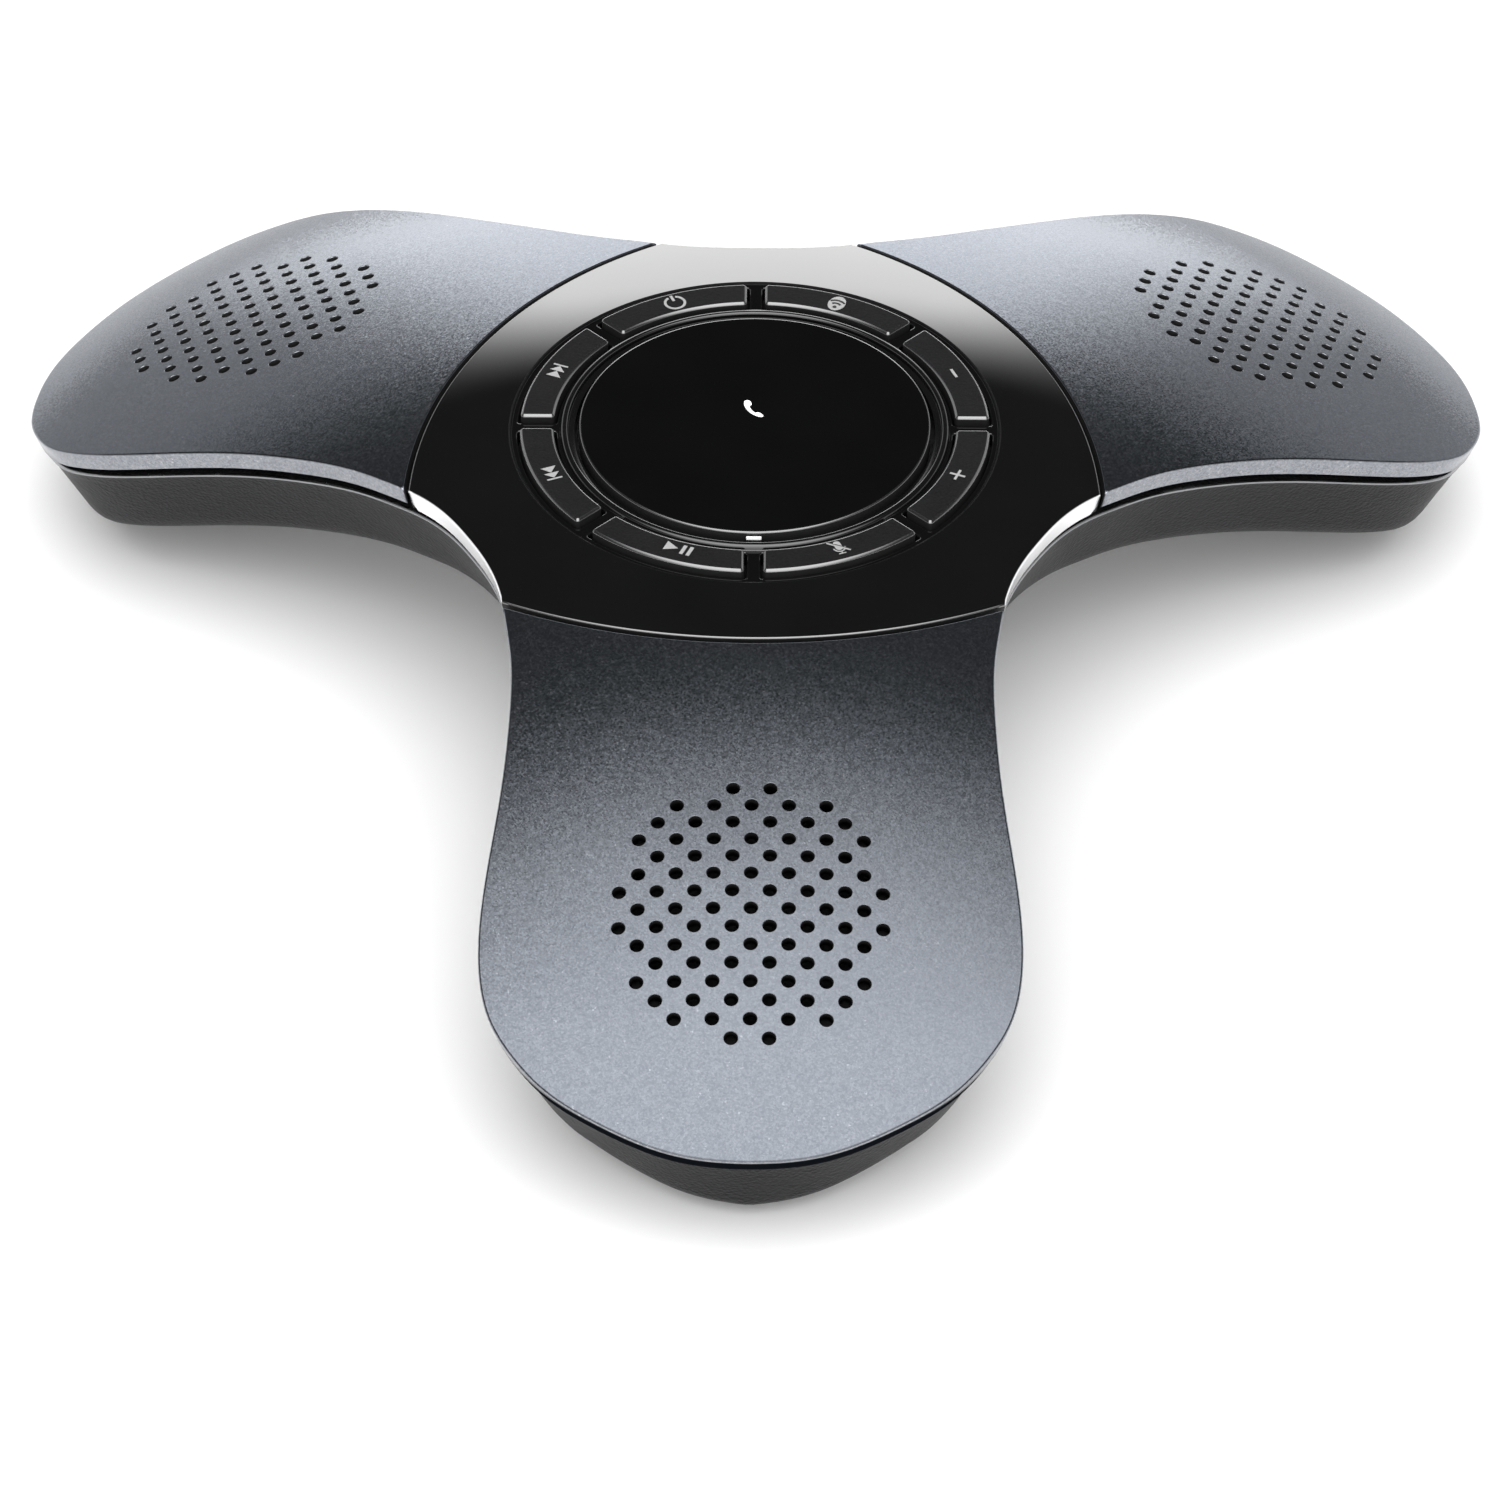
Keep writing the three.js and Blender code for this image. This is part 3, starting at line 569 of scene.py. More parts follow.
MAT = {
    "paint": paint("satin_metal_paint", (0.090, 0.098, 0.113), (0.110, 0.119, 0.135), (0.134, 0.144, 0.162), (0.19, 0.20, 0.22), rough=0.165, lean=0.055, coat=0.0),
    # the edge band's paint is a lighter copy of the top's paint, a painted highlight for the bright floor it reflects,
    # and it also carries painted shade where it faces down
    "band": paint("edge_paint_lightened", (0.20, 0.21, 0.235), (0.275, 0.285, 0.31), (0.36, 0.37, 0.395), (0.6, 0.61, 0.64), rough=0.2, lean=0.04, shade_facing_down=True),
    "gloss": gloss("black_gloss", ior=1.92),
    "trim": polished("polished_trim"),
    "tray": gloss("black_gloss_tray", base=0.003, rough=0.06, ior=1.6),
    "disc": gloss("call_disc_gloss", base=0.0025, rough=0.05, ior=1.46),
    "rim": gloss("polished_bevel", base=0.012, rough=0.16, ior=2.4),
    "lip": gloss("opening_lip", base=0.004, rough=0.1, ior=1.75),
    "key": moulded("key_satin", (0.0075, 0.0075, 0.008), 0.45, 0.34, 0.03, spec=0.05, vary=0.4),
    "casing": moulded("casing_grain", (0.0085, 0.0085, 0.009), 0.42, 0.5, 0.22, spec=0.12, vary=0.85),
    "line": steel("casing_edge_line", 0.3, 0.2, lines=False),
    "inside": moulded("casing_inside", (0.010, 0.010, 0.010), 0.6, 0.5, 0.03, spec=0.3),
    "rubber": moulded("foot_rubber", (0.014, 0.014, 0.015), 0.78, 0.5, 0.05, spec=0.3, vary=0.2),
    "ink": printed("grey_print", 0.40),
    "badge_dark": printed("dark_print", 0.012),
    # painted glow: the white handset print on the call button is given a faint emission
    "white": printed("white_print_glowing", 0.9, painted_glow=0.55),
    "light": lens("light_guide_milk"),
    "screw": steel("screw_plating", 0.42, 0.3),
    "speaker": steel("speaker_steel", 0.34, 0.34),
    "socket": steel("socket_plating", 0.62, 0.24),
    "mic": steel("mic_can", 0.6, 0.25, lines=False),
    "cone": paper("cone_paper"),
    "board": laminate("solder_mask"),
    "battery": pouch("battery_foil"),
}

# ---------------------------------------------------------------- plan loops
A_DECK, A_COVER = corner_angle(SEAM_R - SEAM_HALF), corner_angle(SEAM_R + SEAM_HALF)

def seam_arc(radius, a, step=1.2):
    """From the seam's right corner to its left corner in the arm's frame."""
    right = outline_pt(a)[0]
    t0 = math.atan2(right[1] - SEAM_C, right[0])
    n = max(4, int((math.pi - 2 * t0) * radius / step))
    t = np.linspace(t0, math.pi - t0, n + 1)
    return np.column_stack([radius * np.cos(t), SEAM_C + radius * np.sin(t)])

def outline_between(a0, a1, step=1.2):
    """Outline points from angle a0 to a1 (angles grow towards +X of the arm's frame)."""
    a = np.linspace(a0, a1, 400)
    return resample(outline_pt(a), step)

def circle(r, n, cx=0.0, cy=0.0, start=0.0):
    t = np.linspace(0, 2 * math.pi, n, endpoint=False) + start
    return np.column_stack([cx + r * np.cos(t), cy + r * np.sin(t)])

def stadium(half, r, cy, n=14):
    t = np.linspace(-math.pi / 2, math.pi / 2, n)
    a = np.column_stack([half + r * np.cos(t), cy + r * np.sin(t)])
    k = np.linspace(half, -half, 8)[1:-1]
    top = np.column_stack([k, np.full(len(k), cy + r)])
    b = np.column_stack([-half - r * np.cos(t), cy - r * np.sin(t)])
    return np.vstack([a, top, b, np.column_stack([k[::-1], np.full(len(k), cy - r)])])

def arm_loop(q_step=1.2):
    """The arm cover's outline, anticlockwise in the arm's frame, and which of its points lie on the seam."""
    side = outline_between(A_COVER, -A_COVER, q_step)  # right corner, round the tip, to the left corner
    arc = seam_arc(SEAM_R + SEAM_HALF, A_COVER, q_step)[::-1]  # left corner back to the right corner
    loop = np.vstack([side, arc[1:-1]])
    on_seam = np.concatenate([np.zeros(len(side), bool), np.ones(len(arc) - 2, bool)])
    return loop, on_seam

def deck_loop(q_step=1.2):
    loop, seam_pt, reach = [], [], []
    for turn in (60.0, 180.0, 300.0):
        arc = seam_arc(SEAM_R - SEAM_HALF, A_DECK, q_step)
        s = np.concatenate([[0], np.cumsum(np.linalg.norm(np.diff(arc, axis=0), axis=1))])
        edge = np.minimum(s, s[-1] - s)
        k = np.clip((edge - 4.0) / 3.0, 0, 1)
        loop.append(turned(arc, turn))
        seam_pt.append(np.ones(len(arc), bool))
        reach.append(k * k * (3 - 2 * k))
        notch = np.vstack([outline_between(-A_DECK, -60, q_step)[1:], turned(outline_between(60, A_DECK, q_step)[1:-1], 120)])
        loop.append(turned(notch, turn))
        seam_pt.append(np.zeros(len(notch), bool))
        reach.append(np.zeros(len(notch)))
    return np.vstack(loop), np.concatenate(seam_pt), np.concatenate(reach)

# ---------------------------------------------------------------- arm covers
HOLES = []
for j, count in enumerate([2, 5, 6, 7, 6, 7, 8, 7, 8, 7, 6, 7, 6, 5, 2]):
    for i in range(count):
        HOLES.append(((i - (count - 1) / 2) * 5.657, 98.8 + (j - 7) * 2.8285))
SCREWS = [(-25.0, 84.0), (25.0, 84.0), (0.0, 62.0)]

def dome_at(d):
    return lambda q: at(q, d)

def unfold(q, corners, reach=5):
    """Spaces the points beside a corner evenly, so that an inset ring doesn't fold there."""
    q = q.copy()
    for c in corners:
        for s in (1, -1):
            far = q[(c + s * reach) % len(q)].copy()
            for i in range(1, reach):
                q[(c + s * i) % len(q)] = q[c] + (far - q[c]) * i / reach
    return q

def make_cover():
    b = Build()
    loop, on_seam = arm_loop()
    n = outward(loop)
    f = np.where(on_seam, 0.22, 0.42)
    deep = np.where(on_seam, 2.2, BAND_T)
    ring = lambda o, d: at(loop + n * np.broadcast_to(o, len(loop))[:, None], np.broadcast_to(d, len(loop)))
    rings = []
    for a in (0, 20, 42, 65, 90):
        rings.append(ring(-f + f * math.sin(a * DEG), f - f * math.cos(a * DEG)))
    cap0 = loop - n * f[:, None]
    face_seam = on_seam | np.roll(on_seam, -1)
    edge = np.where(face_seam, 0, 1)
    mats = [0, 0, edge, edge]
    under0 = unfold(loop - n * BAND_W, (0, int(np.argmax(on_seam)) - 1))
    rings += [ring(0, deep - 0.2), ring(-0.2, deep), at(under0, deep), at(under0, COVER_T)]
    wall = np.where(face_seam, 2, 1)
    mats += [wall, wall, 2, 2]
    i0 = b.points(rings[0])
    i1 = b.strip(rings, first=i0, n_first=dome_n(cap0), n_last=-dome_n(under0), sign=-1.0, mats=mats)
    top, low = [(cap0, i0)], [(under0, i1)]
    for x, y in HOLES:  # bores square to the sphere, with a softened rim
        t = np.linspace(0, 2 * math.pi, 24, endpoint=False)
        centre = at([[x, y]])[0]
        axis = (centre - CENTRE) / SPHERE_R
        e1 = np.array([1.0, 0, 0]) - axis * axis[0]
        e1 /= np.linalg.norm(e1)
        e2 = np.cross(axis, e1)
        def bore(r, d):
            p = centre + (np.cos(t)[:, None] * e1 + np.sin(t)[:, None] * e2) * r
            return at(p[:, :2], d)
        rr = [bore(1.03 + 0.11, 0.0), bore(1.03 + 0.035, 0.035), bore(1.03, 0.12), bore(1.03, 0.75), bore(1.03 * 0.993, COVER_T)]
        c0 = rr[0][:, :2]
        low_plan = bore(1.03 * 0.993, 0.0)[:, :2]
        j0 = b.points(rr[0])
        j1 = b.strip(rr, first=j0, n_first=dome_n(c0), n_last=-dome_n(low_plan), sign=1.0, smooth=50, mats=[0, 1, 2, 2])
        top.append((c0, j0))
        low.append((low_plan, j1))
    for x, y in SCREWS:  # posts that the casing screws bite into
        z = float(prof(math.hypot(x, y)))
        post, hole = circle(3.4, 24, x, y), circle(1.5, 24, x, y)
        # the ring where the post meets the underside, found on the plan scaled to depth COVER_T
        k = SPHERE_R / (SPHERE_R - COVER_T)
        root_plan = circle(3.4, 24, x, y) * k
        root = at(root_plan, COVER_T)
        lift = lambda p, zz: np.column_stack([p, np.full(len(p), zz)])
        rr = [root, lift(post, z - 16.9), lift(circle(3.1, 24, x, y), z - 17.2), lift(circle(1.8, 24, x, y), z - 17.2), lift(hole, z - 16.9), lift(hole, z - 8.6)]
        j0 = b.points(rr[0])
        j1 = b.strip(rr, first=j0, n_first=None, n_last=None, sign=-1.0, mats=[2] * 5)
        low.append((root_plan, j0))
        b.cap([(hole, j1)], lambda q: lift(q, z - 8.6), lambda q: np.tile([0, 0, -1.0], (len(q), 1)), step=0, mat=2, up=False)
    b.cap(top, dome_at(0.0), dome_n, step=2.6, mat=0)
    b.cap(low, dome_at(COVER_T), lambda q: -dome_n(q), step=3.5, mat=2, up=False)
    return b

cover = make_cover()
for side, ang in ARM.items():
    o = cover.object("cover_" + side, [MAT["paint"], MAT["band"], MAT["inside"]], turn=ang)
    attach(o, "housing")
    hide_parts("arm_cover_" + side)

# ---------------------------------------------------------------- centre deck
def key_plan(k, grow, ends=None, radius=0.5, share=0.45):
    """Outline of key k (0 is the first anticlockwise from +X), grown, with rounded corners."""
    ends = grow if ends is None else ends
    r0, r1, h = KEY_IN - grow, KEY_OUT + grow, KEY_HALF_GAP - ends
    pts = []
    for r, back in ((r1, False), (r0, True)):
        lo, hi = k * 45 * DEG + math.asin(h / r), (k + 1) * 45 * DEG - math.asin(h / r)
        n = max(4, int((hi - lo) * r / 0.9))
        p = np.linspace(hi, lo, n + 1) if back else np.linspace(lo, hi, n + 1)
        pts += [(r * math.cos(a), r * math.sin(a)) for a in p]
    return rounded(pts, radius, step=0.12, share=share)

def disc_hole():
    """The opening for the call button, with a small notch at the front for the light guide."""
    r, w, out = DISC_HOLE_R, 1.55, 29.75
    a0 = math.asin(w / r)
    t = np.linspace(-math.pi / 2 + a0, 1.5 * math.pi - a0, 176)
    arc = np.column_stack([r * np.cos(t), r * np.sin(t)])
    arc[0], arc[-1] = (w, -math.sqrt(r * r - w * w)), (-w, -math.sqrt(r * r - w * w))
    back = np.array([(-w, -out + 0.25), (-w + 0.08, -out + 0.08), (-w + 0.25, -out), (w - 0.25, -out), (w - 0.08, -out + 0.08), (w, -out + 0.25)])
    return np.vstack([arc, back])

def make_deck():
    b = Build()
    loop, on_seam, reach = deck_loop()
    n = outward(loop)
    N = len(loop)
    ring = lambda o, d: at(loop + n * np.broadcast_to(o, N)[:, None], np.broadcast_to(d, N))
    f = np.where(on_seam, 0.3, 0.45)
    w = lambda s, q: np.where(on_seam, s, q)
    g = lambda s, q: np.where(on_seam & np.roll(on_seam, -1), s, q)
    cap0 = loop - n * f[:, None]
    rings = [ring(-f + f * math.sin(a * DEG), f - f * math.cos(a * DEG)) for a in (0, 20, 42, 65, 90)]
    rings += [ring(0, w(2.3, DECK_BAND - 0.2)), ring(w(3.0 * reach, -0.2), w(2.4, DECK_BAND)), ring(w(3.0 * reach, -0.5), w(3.6, DECK_BAND)), ring(w(-3.5, -BAND_W), w(3.7, DECK_BAND)), ring(w(-3.5, -BAND_W), DECK_T)]
    under_off = w(-3.5, -BAND_W)
    under0 = loop + n * under_off[:, None]
    i0 = b.points(rings[0])
    i1 = b.strip(rings, first=i0, n_first=dome_n(cap0), n_last=-dome_n(under0), sign=-1.0, mats=[g(5, 0), g(5, 3), g(5, 3), g(5, 3), g(1, 3)] + [1] * 4)
    # the lip into the tray
    M = 220
    lift = lambda p, z: np.column_stack([p, np.full(len(p), z)])
    r_lip = TRAY_R + 0.5
    z_lip = float(prof(r_lip))
    lip = [at(circle(r_lip, M))] + [lift(circle(TRAY_R + 0.5 - 0.42 * math.sin(a * DEG), M), z_lip + 0.02 - 0.3 * (1 - math.cos(a * DEG))) for a in (25, 50, 75, 90)]
    lip += [lift(circle(TRAY_R, M), TRAY_Z + 0.06), lift(circle(TRAY_R - 0.06, M), TRAY_Z)]
    l0 = b.points(lip[0])
    l1 = b.strip(lip, first=l0, n_first=dome_n(circle(r_lip, M)), n_last=np.tile([0, 0, 1.0], (M, 1)), sign=1.0, smooth=55, mats=[6] * 5 + [1])
    b.cap([(cap0, i0), (circle(r_lip, M), l0)], dome_at(0.0), dome_n, step=2.8, mat=0)
    # tray floor with its openings
    up, dn = lambda q: np.tile([0, 0, 1.0], (len(q), 1)), lambda q: np.tile([0, 0, -1.0], (len(q), 1))
    top, low = [(circle(TRAY_R - 0.06, M), l1)], []
    slots = [key_plan(k, KEY_CLEAR, radius=0.8) for k in range(8)] + [disc_hole()]
    for s in slots:
        m = outward(s)
        e = 0.3
        rr = [lift(s + m * (e - e * math.sin(a * DEG)), TRAY_Z - e + e * math.cos(a * DEG)) for a in (0, 18, 36, 54, 72, 90)]
        if s is slots[-1]:  # a low rounded bead round the disc
            unit = s / np.hypot(s[:, 0], s[:, 1])[:, None]
            rr = [lift(unit * r, TRAY_Z + h) for r, h in ((31.56, 0.0), (31.5, 0.3), (31.38, 0.62), (31.16, 0.83), (30.92, 0.9), (30.58, 0.92), (30.4, 0.88), (30.25, 0.74), (30.15, 0.5), (30.08, 0.12))]
            rr += [lift(s + m * o, TRAY_Z + h) for o, h in ((0.12, 0.02), (0.04, -0.02), (0.0, -0.14))]
        # seen from the opening the wall's outside is its inner face
        rr.append(lift(s, TRAY_UNDER))
        j0 = b.points(rr[0])
        j1 = b.strip(rr, first=j0, n_first=np.tile([0, 0, 1.0], (len(s), 1)), n_last=None, sign=1.0, mats=[4] * 5 + [2] if s is not slots[-1] else [4] * 8 + [2] + [4] * 3 + [2])
        top.append((rr[0][:, :2], j0))
        low.append((s, j1))
    b.cap(top, lambda q: lift(q, TRAY_Z), up, step=0, mat=2)
    plate = circle(40.6, M)
    kk = (SPHERE_R - DECK_T) / SPHERE_R
    p0 = b.points(lift(plate, TRAY_UNDER))
    root_plan = plate / kk
    p1 = b.strip([lift(plate, TRAY_UNDER), at(root_plan, DECK_T)], first=p0, sign=1.0, mats=[1])
    b.cap([(plate, p0)] + low, lambda q: lift(q, TRAY_UNDER), dn, step=0, mat=1, up=False)
    b.cap([(under0, i1), (root_plan, p1)], dome_at(DECK_T), lambda q: -dome_n(q), step=3.5, mat=1, up=False)
    return b

deck = make_deck().object("deck", [MAT["gloss"], MAT["inside"], MAT["tray"], MAT["trim"], MAT["lip"], MAT["rim"], MAT["key"]])
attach(deck, "housing")
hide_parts("center_deck")

# ---------------------------------------------------------------- controls
def lift(p, z):
    return np.column_stack([p, np.full(len(p), z)])

def make_key(k):
    b = Build()
    s = key_plan(k, 0.0, radius=0.66, share=0.9)
    m = outward(s)
    flange = key_plan(k, 0.85, ends=0.5, radius=0.5)
    rr = [lift(s - m * o, TOP_Z - d) for o, d in ((0.46, 0.0), (0.40, 0.01), (0.345, 0.035), (0.06, 0.30), (0.015, 0.36), (0.0, 0.44), (0.0, 0.46))]
    rr += [lift(s, -5.5)]
    j0 = b.points(rr[0])
    j1 = b.strip(rr, first=j0, n_first=None, n_last=None, sign=-1.0, smooth=50, mats=[1] * 6 + [2])
    upn, dnn = lambda q: np.tile([0, 0, 1.0], (len(q), 1)), lambda q: np.tile([0, 0, -1.0], (len(q), 1))
    inner = []
    top_loop = rr[0][:, :2]
    b.cap([(top_loop, j0)], lambda q: lift(q, TOP_Z), upn, step=1.2, mat=0)
    g0 = b.points(lift(flange, -5.5))
    g1 = b.strip([lift(flange, -5.5), lift(flange, -6.4)], first=g0, sign=-1.0, mats=[2])
    b.cap([(flange, g0), (s, j1)], lambda q: lift(q, -5.5), upn, step=0, mat=2)
    c = (35.2 * math.cos((k + 0.5) * 45 * DEG), 35.2 * math.sin((k + 0.5) * 45 * DEG))
    pin = circle(1.5, 20, *c)
    h0 = b.points(lift(pin, -6.4))
    h1 = b.strip([lift(pin, -6.4), lift(pin, -7.1), lift(circle(1.3, 20, *c), -7.3)], first=h0, sign=-1.0, mats=[2, 2])
    b.cap([(flange, g1), (pin, h0)], lambda q: lift(q, -6.4), dnn, step=0, mat=2, up=False)
    b.cap([(circle(1.3, 20, *c), h1)], lambda q: lift(q, -7.3), dnn, step=0, mat=2, up=False)
    return b

KEYS = {"volume_down_key": 0, "pairing_key": 1, "power_key": 2, "previous_key": 3, "next_key": 4, "play_pause_key": 5, "mic_mute_key": 6, "volume_up_key": 7}
for name, k in KEYS.items():
    o = make_key(k).object(name.replace("_key", "_button"), [MAT["key"], MAT["rim"], MAT["inside"]])
    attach(o, name)
    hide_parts(name)

def make_disc():
    b = Build()
    M = 220
    e = 0.34
    rr = [lift(circle(DISC_R - e + e * math.sin(a * DEG), M), TOP_Z - e + e * math.cos(a * DEG)) for a in (0, 18, 36, 54, 72, 90)]
    rr += [lift(circle(DISC_R, M), -5.5)]
    j0 = b.points(rr[0])
    j1 = b.strip(rr, first=j0, sign=-1.0, mats=[1] * 5 + [2])
    upn, dnn = lambda q: np.tile([0, 0, 1.0], (len(q), 1)), lambda q: np.tile([0, 0, -1.0], (len(q), 1))
    b.cap([(rr[0][:, :2], j0)], lambda q: lift(q, TOP_Z), upn, step=4.0, mat=0)
    # retaining flange, cut back at the front for the light guide
    w, rf = 1.7, 30.3
    a0 = math.asin(w / rf)
    t = np.linspace(-math.pi / 2 + a0, 1.5 * math.pi - a0, 150)
    arc = np.column_stack([rf * np.cos(t), rf * np.sin(t)])
    yb = -(DISC_R + 0.12)
    flange = np.vstack([arc, [(-w, yb), (-w * 0.33, yb - 0.0), (w * 0.33, yb - 0.0), (w, yb)]])
    g0 = b.points(lift(flange, -5.5))
    g1 = b.strip([lift(flange, -5.5), lift(flange, -6.4)], first=g0, sign=-1.0, mats=[2])
    b.cap([(flange, g0), (circle(DISC_R, M), j1)], lambda q: lift(q, -5.5), upn, step=0, mat=2)
    pin = circle(2.5, 28)
    h0 = b.points(lift(pin, -6.4))
    h1 = b.strip([lift(pin, -6.4), lift(pin, -7.1), lift(circle(2.3, 28), -7.3)], first=h0, sign=-1.0, mats=[2, 2])
    b.cap([(flange, g1), (pin, h0)], lambda q: lift(q, -6.4), dnn, step=5.0, mat=2, up=False)
    b.cap([(circle(2.3, 28), h1)], lambda q: lift(q, -7.3), dnn, step=0, mat=2, up=False)
    return b

disc = make_disc().object("call_disc", [MAT["disc"], MAT["rim"], MAT["inside"]])
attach(disc, "call_button")
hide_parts("call_button")

# light guide: a small milky block with softened edges
g = Build()
pane = rounded([(-1.2, -29.1), (1.2, -29.1), (1.2, -28.75), (-1.2, -28.75)], 0.1, step=0.05)
rims = [lift(pane, -8.9), lift(pane, -2.72), lift(pane, -2.28), lift(pane - outward(pane) * 0.08, -2.2)]
g0 = g.points(rims[0])
g1 = g.strip(rims, first=g0, sign=1.0, mats=[1, 0, 0])
g.cap([(pane, g0)], lambda q: lift(q, -8.9), lambda q: np.tile([0, 0, -1.0], (len(q), 1)), step=0, mat=1, up=False)
g.cap([(rims[-1][:, :2], g1)], lambda q: lift(q, -2.2), lambda q: np.tile([0, 0, 1.0], (len(q), 1)), step=0)
guide = g.object("light_window", [MAT["light"], MAT["inside"]])
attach(guide, "housing")
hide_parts("status_light")

# ---------------------------------------------------------------- lower casing
SOCK_W, SOCK_Z = 4.8, (-16.6, -12.8)  # the charging socket's opening in the rear notch

def case_loop(step=1.3):
    """The whole outline, anticlockwise in the hub frame, with points at the sides of the socket opening; also each point's share of the arm tip."""
    pts, tip = [], []
    for turn in (60.0, 180.0, 300.0):
        a = np.linspace(60, -60, 900)
        q = outline_pt(a)
        s = np.concatenate([[0], np.cumsum(np.linalg.norm(np.diff(q, axis=0), axis=1))])
        n = int(s[-1] / step)
        u = np.linspace(0, s[-1], n + 1)[:-1]
        aa = np.interp(u, s, a)
        pts.append(turned(outline_pt(aa), turn))
        tip.append(np.clip(1 - np.abs(aa) / 12, 0, None))
    p, t = np.vstack(pts), np.concatenate(tip)
    # the rear notch is met between the right arm's end (turn 300, angle 60) and the left arm's start (turn 60, angle -60)
    near = (np.abs(p[:, 0]) < SOCK_W + 0.9) & (p[:, 1] > 0) & (np.hypot(p[:, 0], p[:, 1]) < 60)
    start = np.where(near)[0]
    keep = ~near
    i0 = start.min() if (start.max() - start.min()) < 60 else None
    q, s = p[keep], t[keep]
    xs = np.array([SOCK_W + 0.45, SOCK_W, SOCK_W - 1.2, 2.4, 1.2, 0, -1.2, -2.4, -SOCK_W + 1.2, -SOCK_W, -SOCK_W - 0.45])
    ang = np.array([60 - math.degrees(math.asin(x / 52.5)) for x in xs])  # seen from the left arm, turned by 60
    for _ in range(3):
        r = outline_r(np.clip(ang, None, 60) * 1.0)
        r = np.where(ang > 60, outline_r(120 - ang), r)
        ang = np.array([60 - math.degrees(math.asin(x / rr)) for x, rr in zip(xs, r)])
    r = np.where(ang > 60, outline_r(120 - ang), outline_r(np.minimum(ang, 60)))
    new = np.column_stack([xs, np.sqrt(r * r - xs * xs)])
    if i0 is None:  # the gap lies at the list's ends
        q = np.vstack([q, new])
        s = np.concatenate([s, np.zeros(len(new))])
    else:
        q, s = np.vstack([q[:i0], new, q[i0:]]), np.concatenate([s[:i0], np.zeros(len(new)), s[i0:]])
    return q, s

def make_casing():
    b = Build()
    loop, tip = case_loop()
    n = outward(loop)
    N = len(loop)
    kink = 6.6 + (4.4 - 6.6) * tip
    hit = kink * (CASE_UNDER - CASE_TOP) / (21.3 - CASE_TOP)  # inset where the wall's line meets the underside
    r0 = np.hypot(loop[:, 0], loop[:, 1])
    kr = (prof(r0) + SPHERE_R - CASE_TOP) / (prof(r0) + SPHERE_R)
    base = loop * kr[:, None]  # the rim's place in plan
    def ring(inset, d):
        q = base - n * np.broadcast_to(inset, N)[:, None]
        return drop(q, np.broadcast_to(d, N))
    def wall(d, w=0.0):
        return ring(kink * (d - CASE_TOP) / (21.3 - CASE_TOP) + w, d)
    # the drops at which the wall of the rear notch reaches the socket opening's edges
    mid = int(np.argmin(np.abs(loop[:, 0]) + (loop[:, 1] < 0) * 1e3 + (r0 > 60) * 1e3))
    def drop_for(z, w):
        lo, hi = CASE_TOP, 22.0
        for _ in range(40):
            m = (lo + hi) / 2
            lo, hi = (m, hi) if wall(m, w)[mid][2] > z else (lo, m)
        return (lo + hi) / 2
    d_up, d_dn = drop_for(SOCK_Z[1], 0), drop_for(SOCK_Z[0], 0)
    outer = [ring(0.55, CASE_TOP), ring(0.3, CASE_TOP + 0.05), ring(0.1, CASE_TOP + 0.2), ring(0.03, CASE_TOP + 0.45)]
    for d in (6.2, d_up, d_dn, 15.0):
        outer.append(wall(d))
    k_up = 5
    d1 = 18.0
    p0i, p0d = kink * (d1 - CASE_TOP) / (21.3 - CASE_TOP), d1
    p2i = hit + 5.6
    for t in np.linspace(0, 1, 9):
        outer.append(ring((1 - t) ** 2 * p0i + 2 * t * (1 - t) * hit + t * t * p2i, (1 - t) ** 2 * p0d + 2 * t * (1 - t) * CASE_UNDER + t * t * CASE_UNDER))
    e_up, e_dn = drop_for(SOCK_Z[1], CASE_W), drop_for(SOCK_Z[0], CASE_W)
    inner = [ring(0.55, CASE_TOP), ring(CASE_W - 0.2, CASE_TOP), ring(CASE_W, CASE_TOP + 0.2), wall(e_up, CASE_W), wall(e_dn, CASE_W), wall(19.0, CASE_W), ring(kink + CASE_W + 2.2, 21.6)]
    # which quads are the socket opening
    lo_i = int(np.argmin(np.abs(loop[:, 0] - SOCK_W) + (loop[:, 1] < 0) * 1e3 + (r0 > 60) * 1e3))
    hi_i = int(np.argmin(np.abs(loop[:, 0] + SOCK_W) + (loop[:, 1] < 0) * 1e3 + (r0 > 60) * 1e3))
    span = []
    i = lo_i
    while i != hi_i:
        span.append(i)
        i = (i + 1) % N
    i0 = b.points(outer[0])
    under0 = outer[-1][:, :2]
    i1 = b.strip(outer, first=i0, n_last=-dome_n(under0), sign=-1.0, mats=[1] * 3 + [0] * 20, skip={(k_up, i) for i in span})
    o_up, o_dn = b.rings[k_up], b.rings[k_up + 1]
    j1 = b.strip(inner, first=i0, n_last=dome_n(inner[-1][:, :2]), sign=1.0, mats=[0, 0, 2, 2, 2, 2, 2], skip={(3, i) for i in span})
    q_up, q_dn = b.rings[3], b.rings[4]
    V = lambda i: np.array(b.v[i])
    for i in span:
        j = (i + 1) % N
        b.face([o_up[i], o_up[j], q_up[j], q_up[i]][::-1], [(0, 0, -1.0)] * 4, 2)
        b.face([o_dn[i], o_dn[j], q_dn[j], q_dn[i]], [(0, 0, 1.0)] * 4, 2)
    for i, s in ((lo_i, -1.0), (hi_i, 1.0)):
        f = [o_up[i], o_dn[i], q_dn[i], q_up[i]]
        b.face(f if s < 0 else f[::-1], [(s, 0, 0)] * 4, 2)
    b.cap([(under0, i1)], lambda q: drop(q, CASE_UNDER), lambda q: -dome_n(q), step=3.5, mat=0, up=False)
    b.cap([(inner[-1][:, :2], j1)], lambda q: drop(q, 21.6), dome_n, step=4.5, mat=2)
    return b

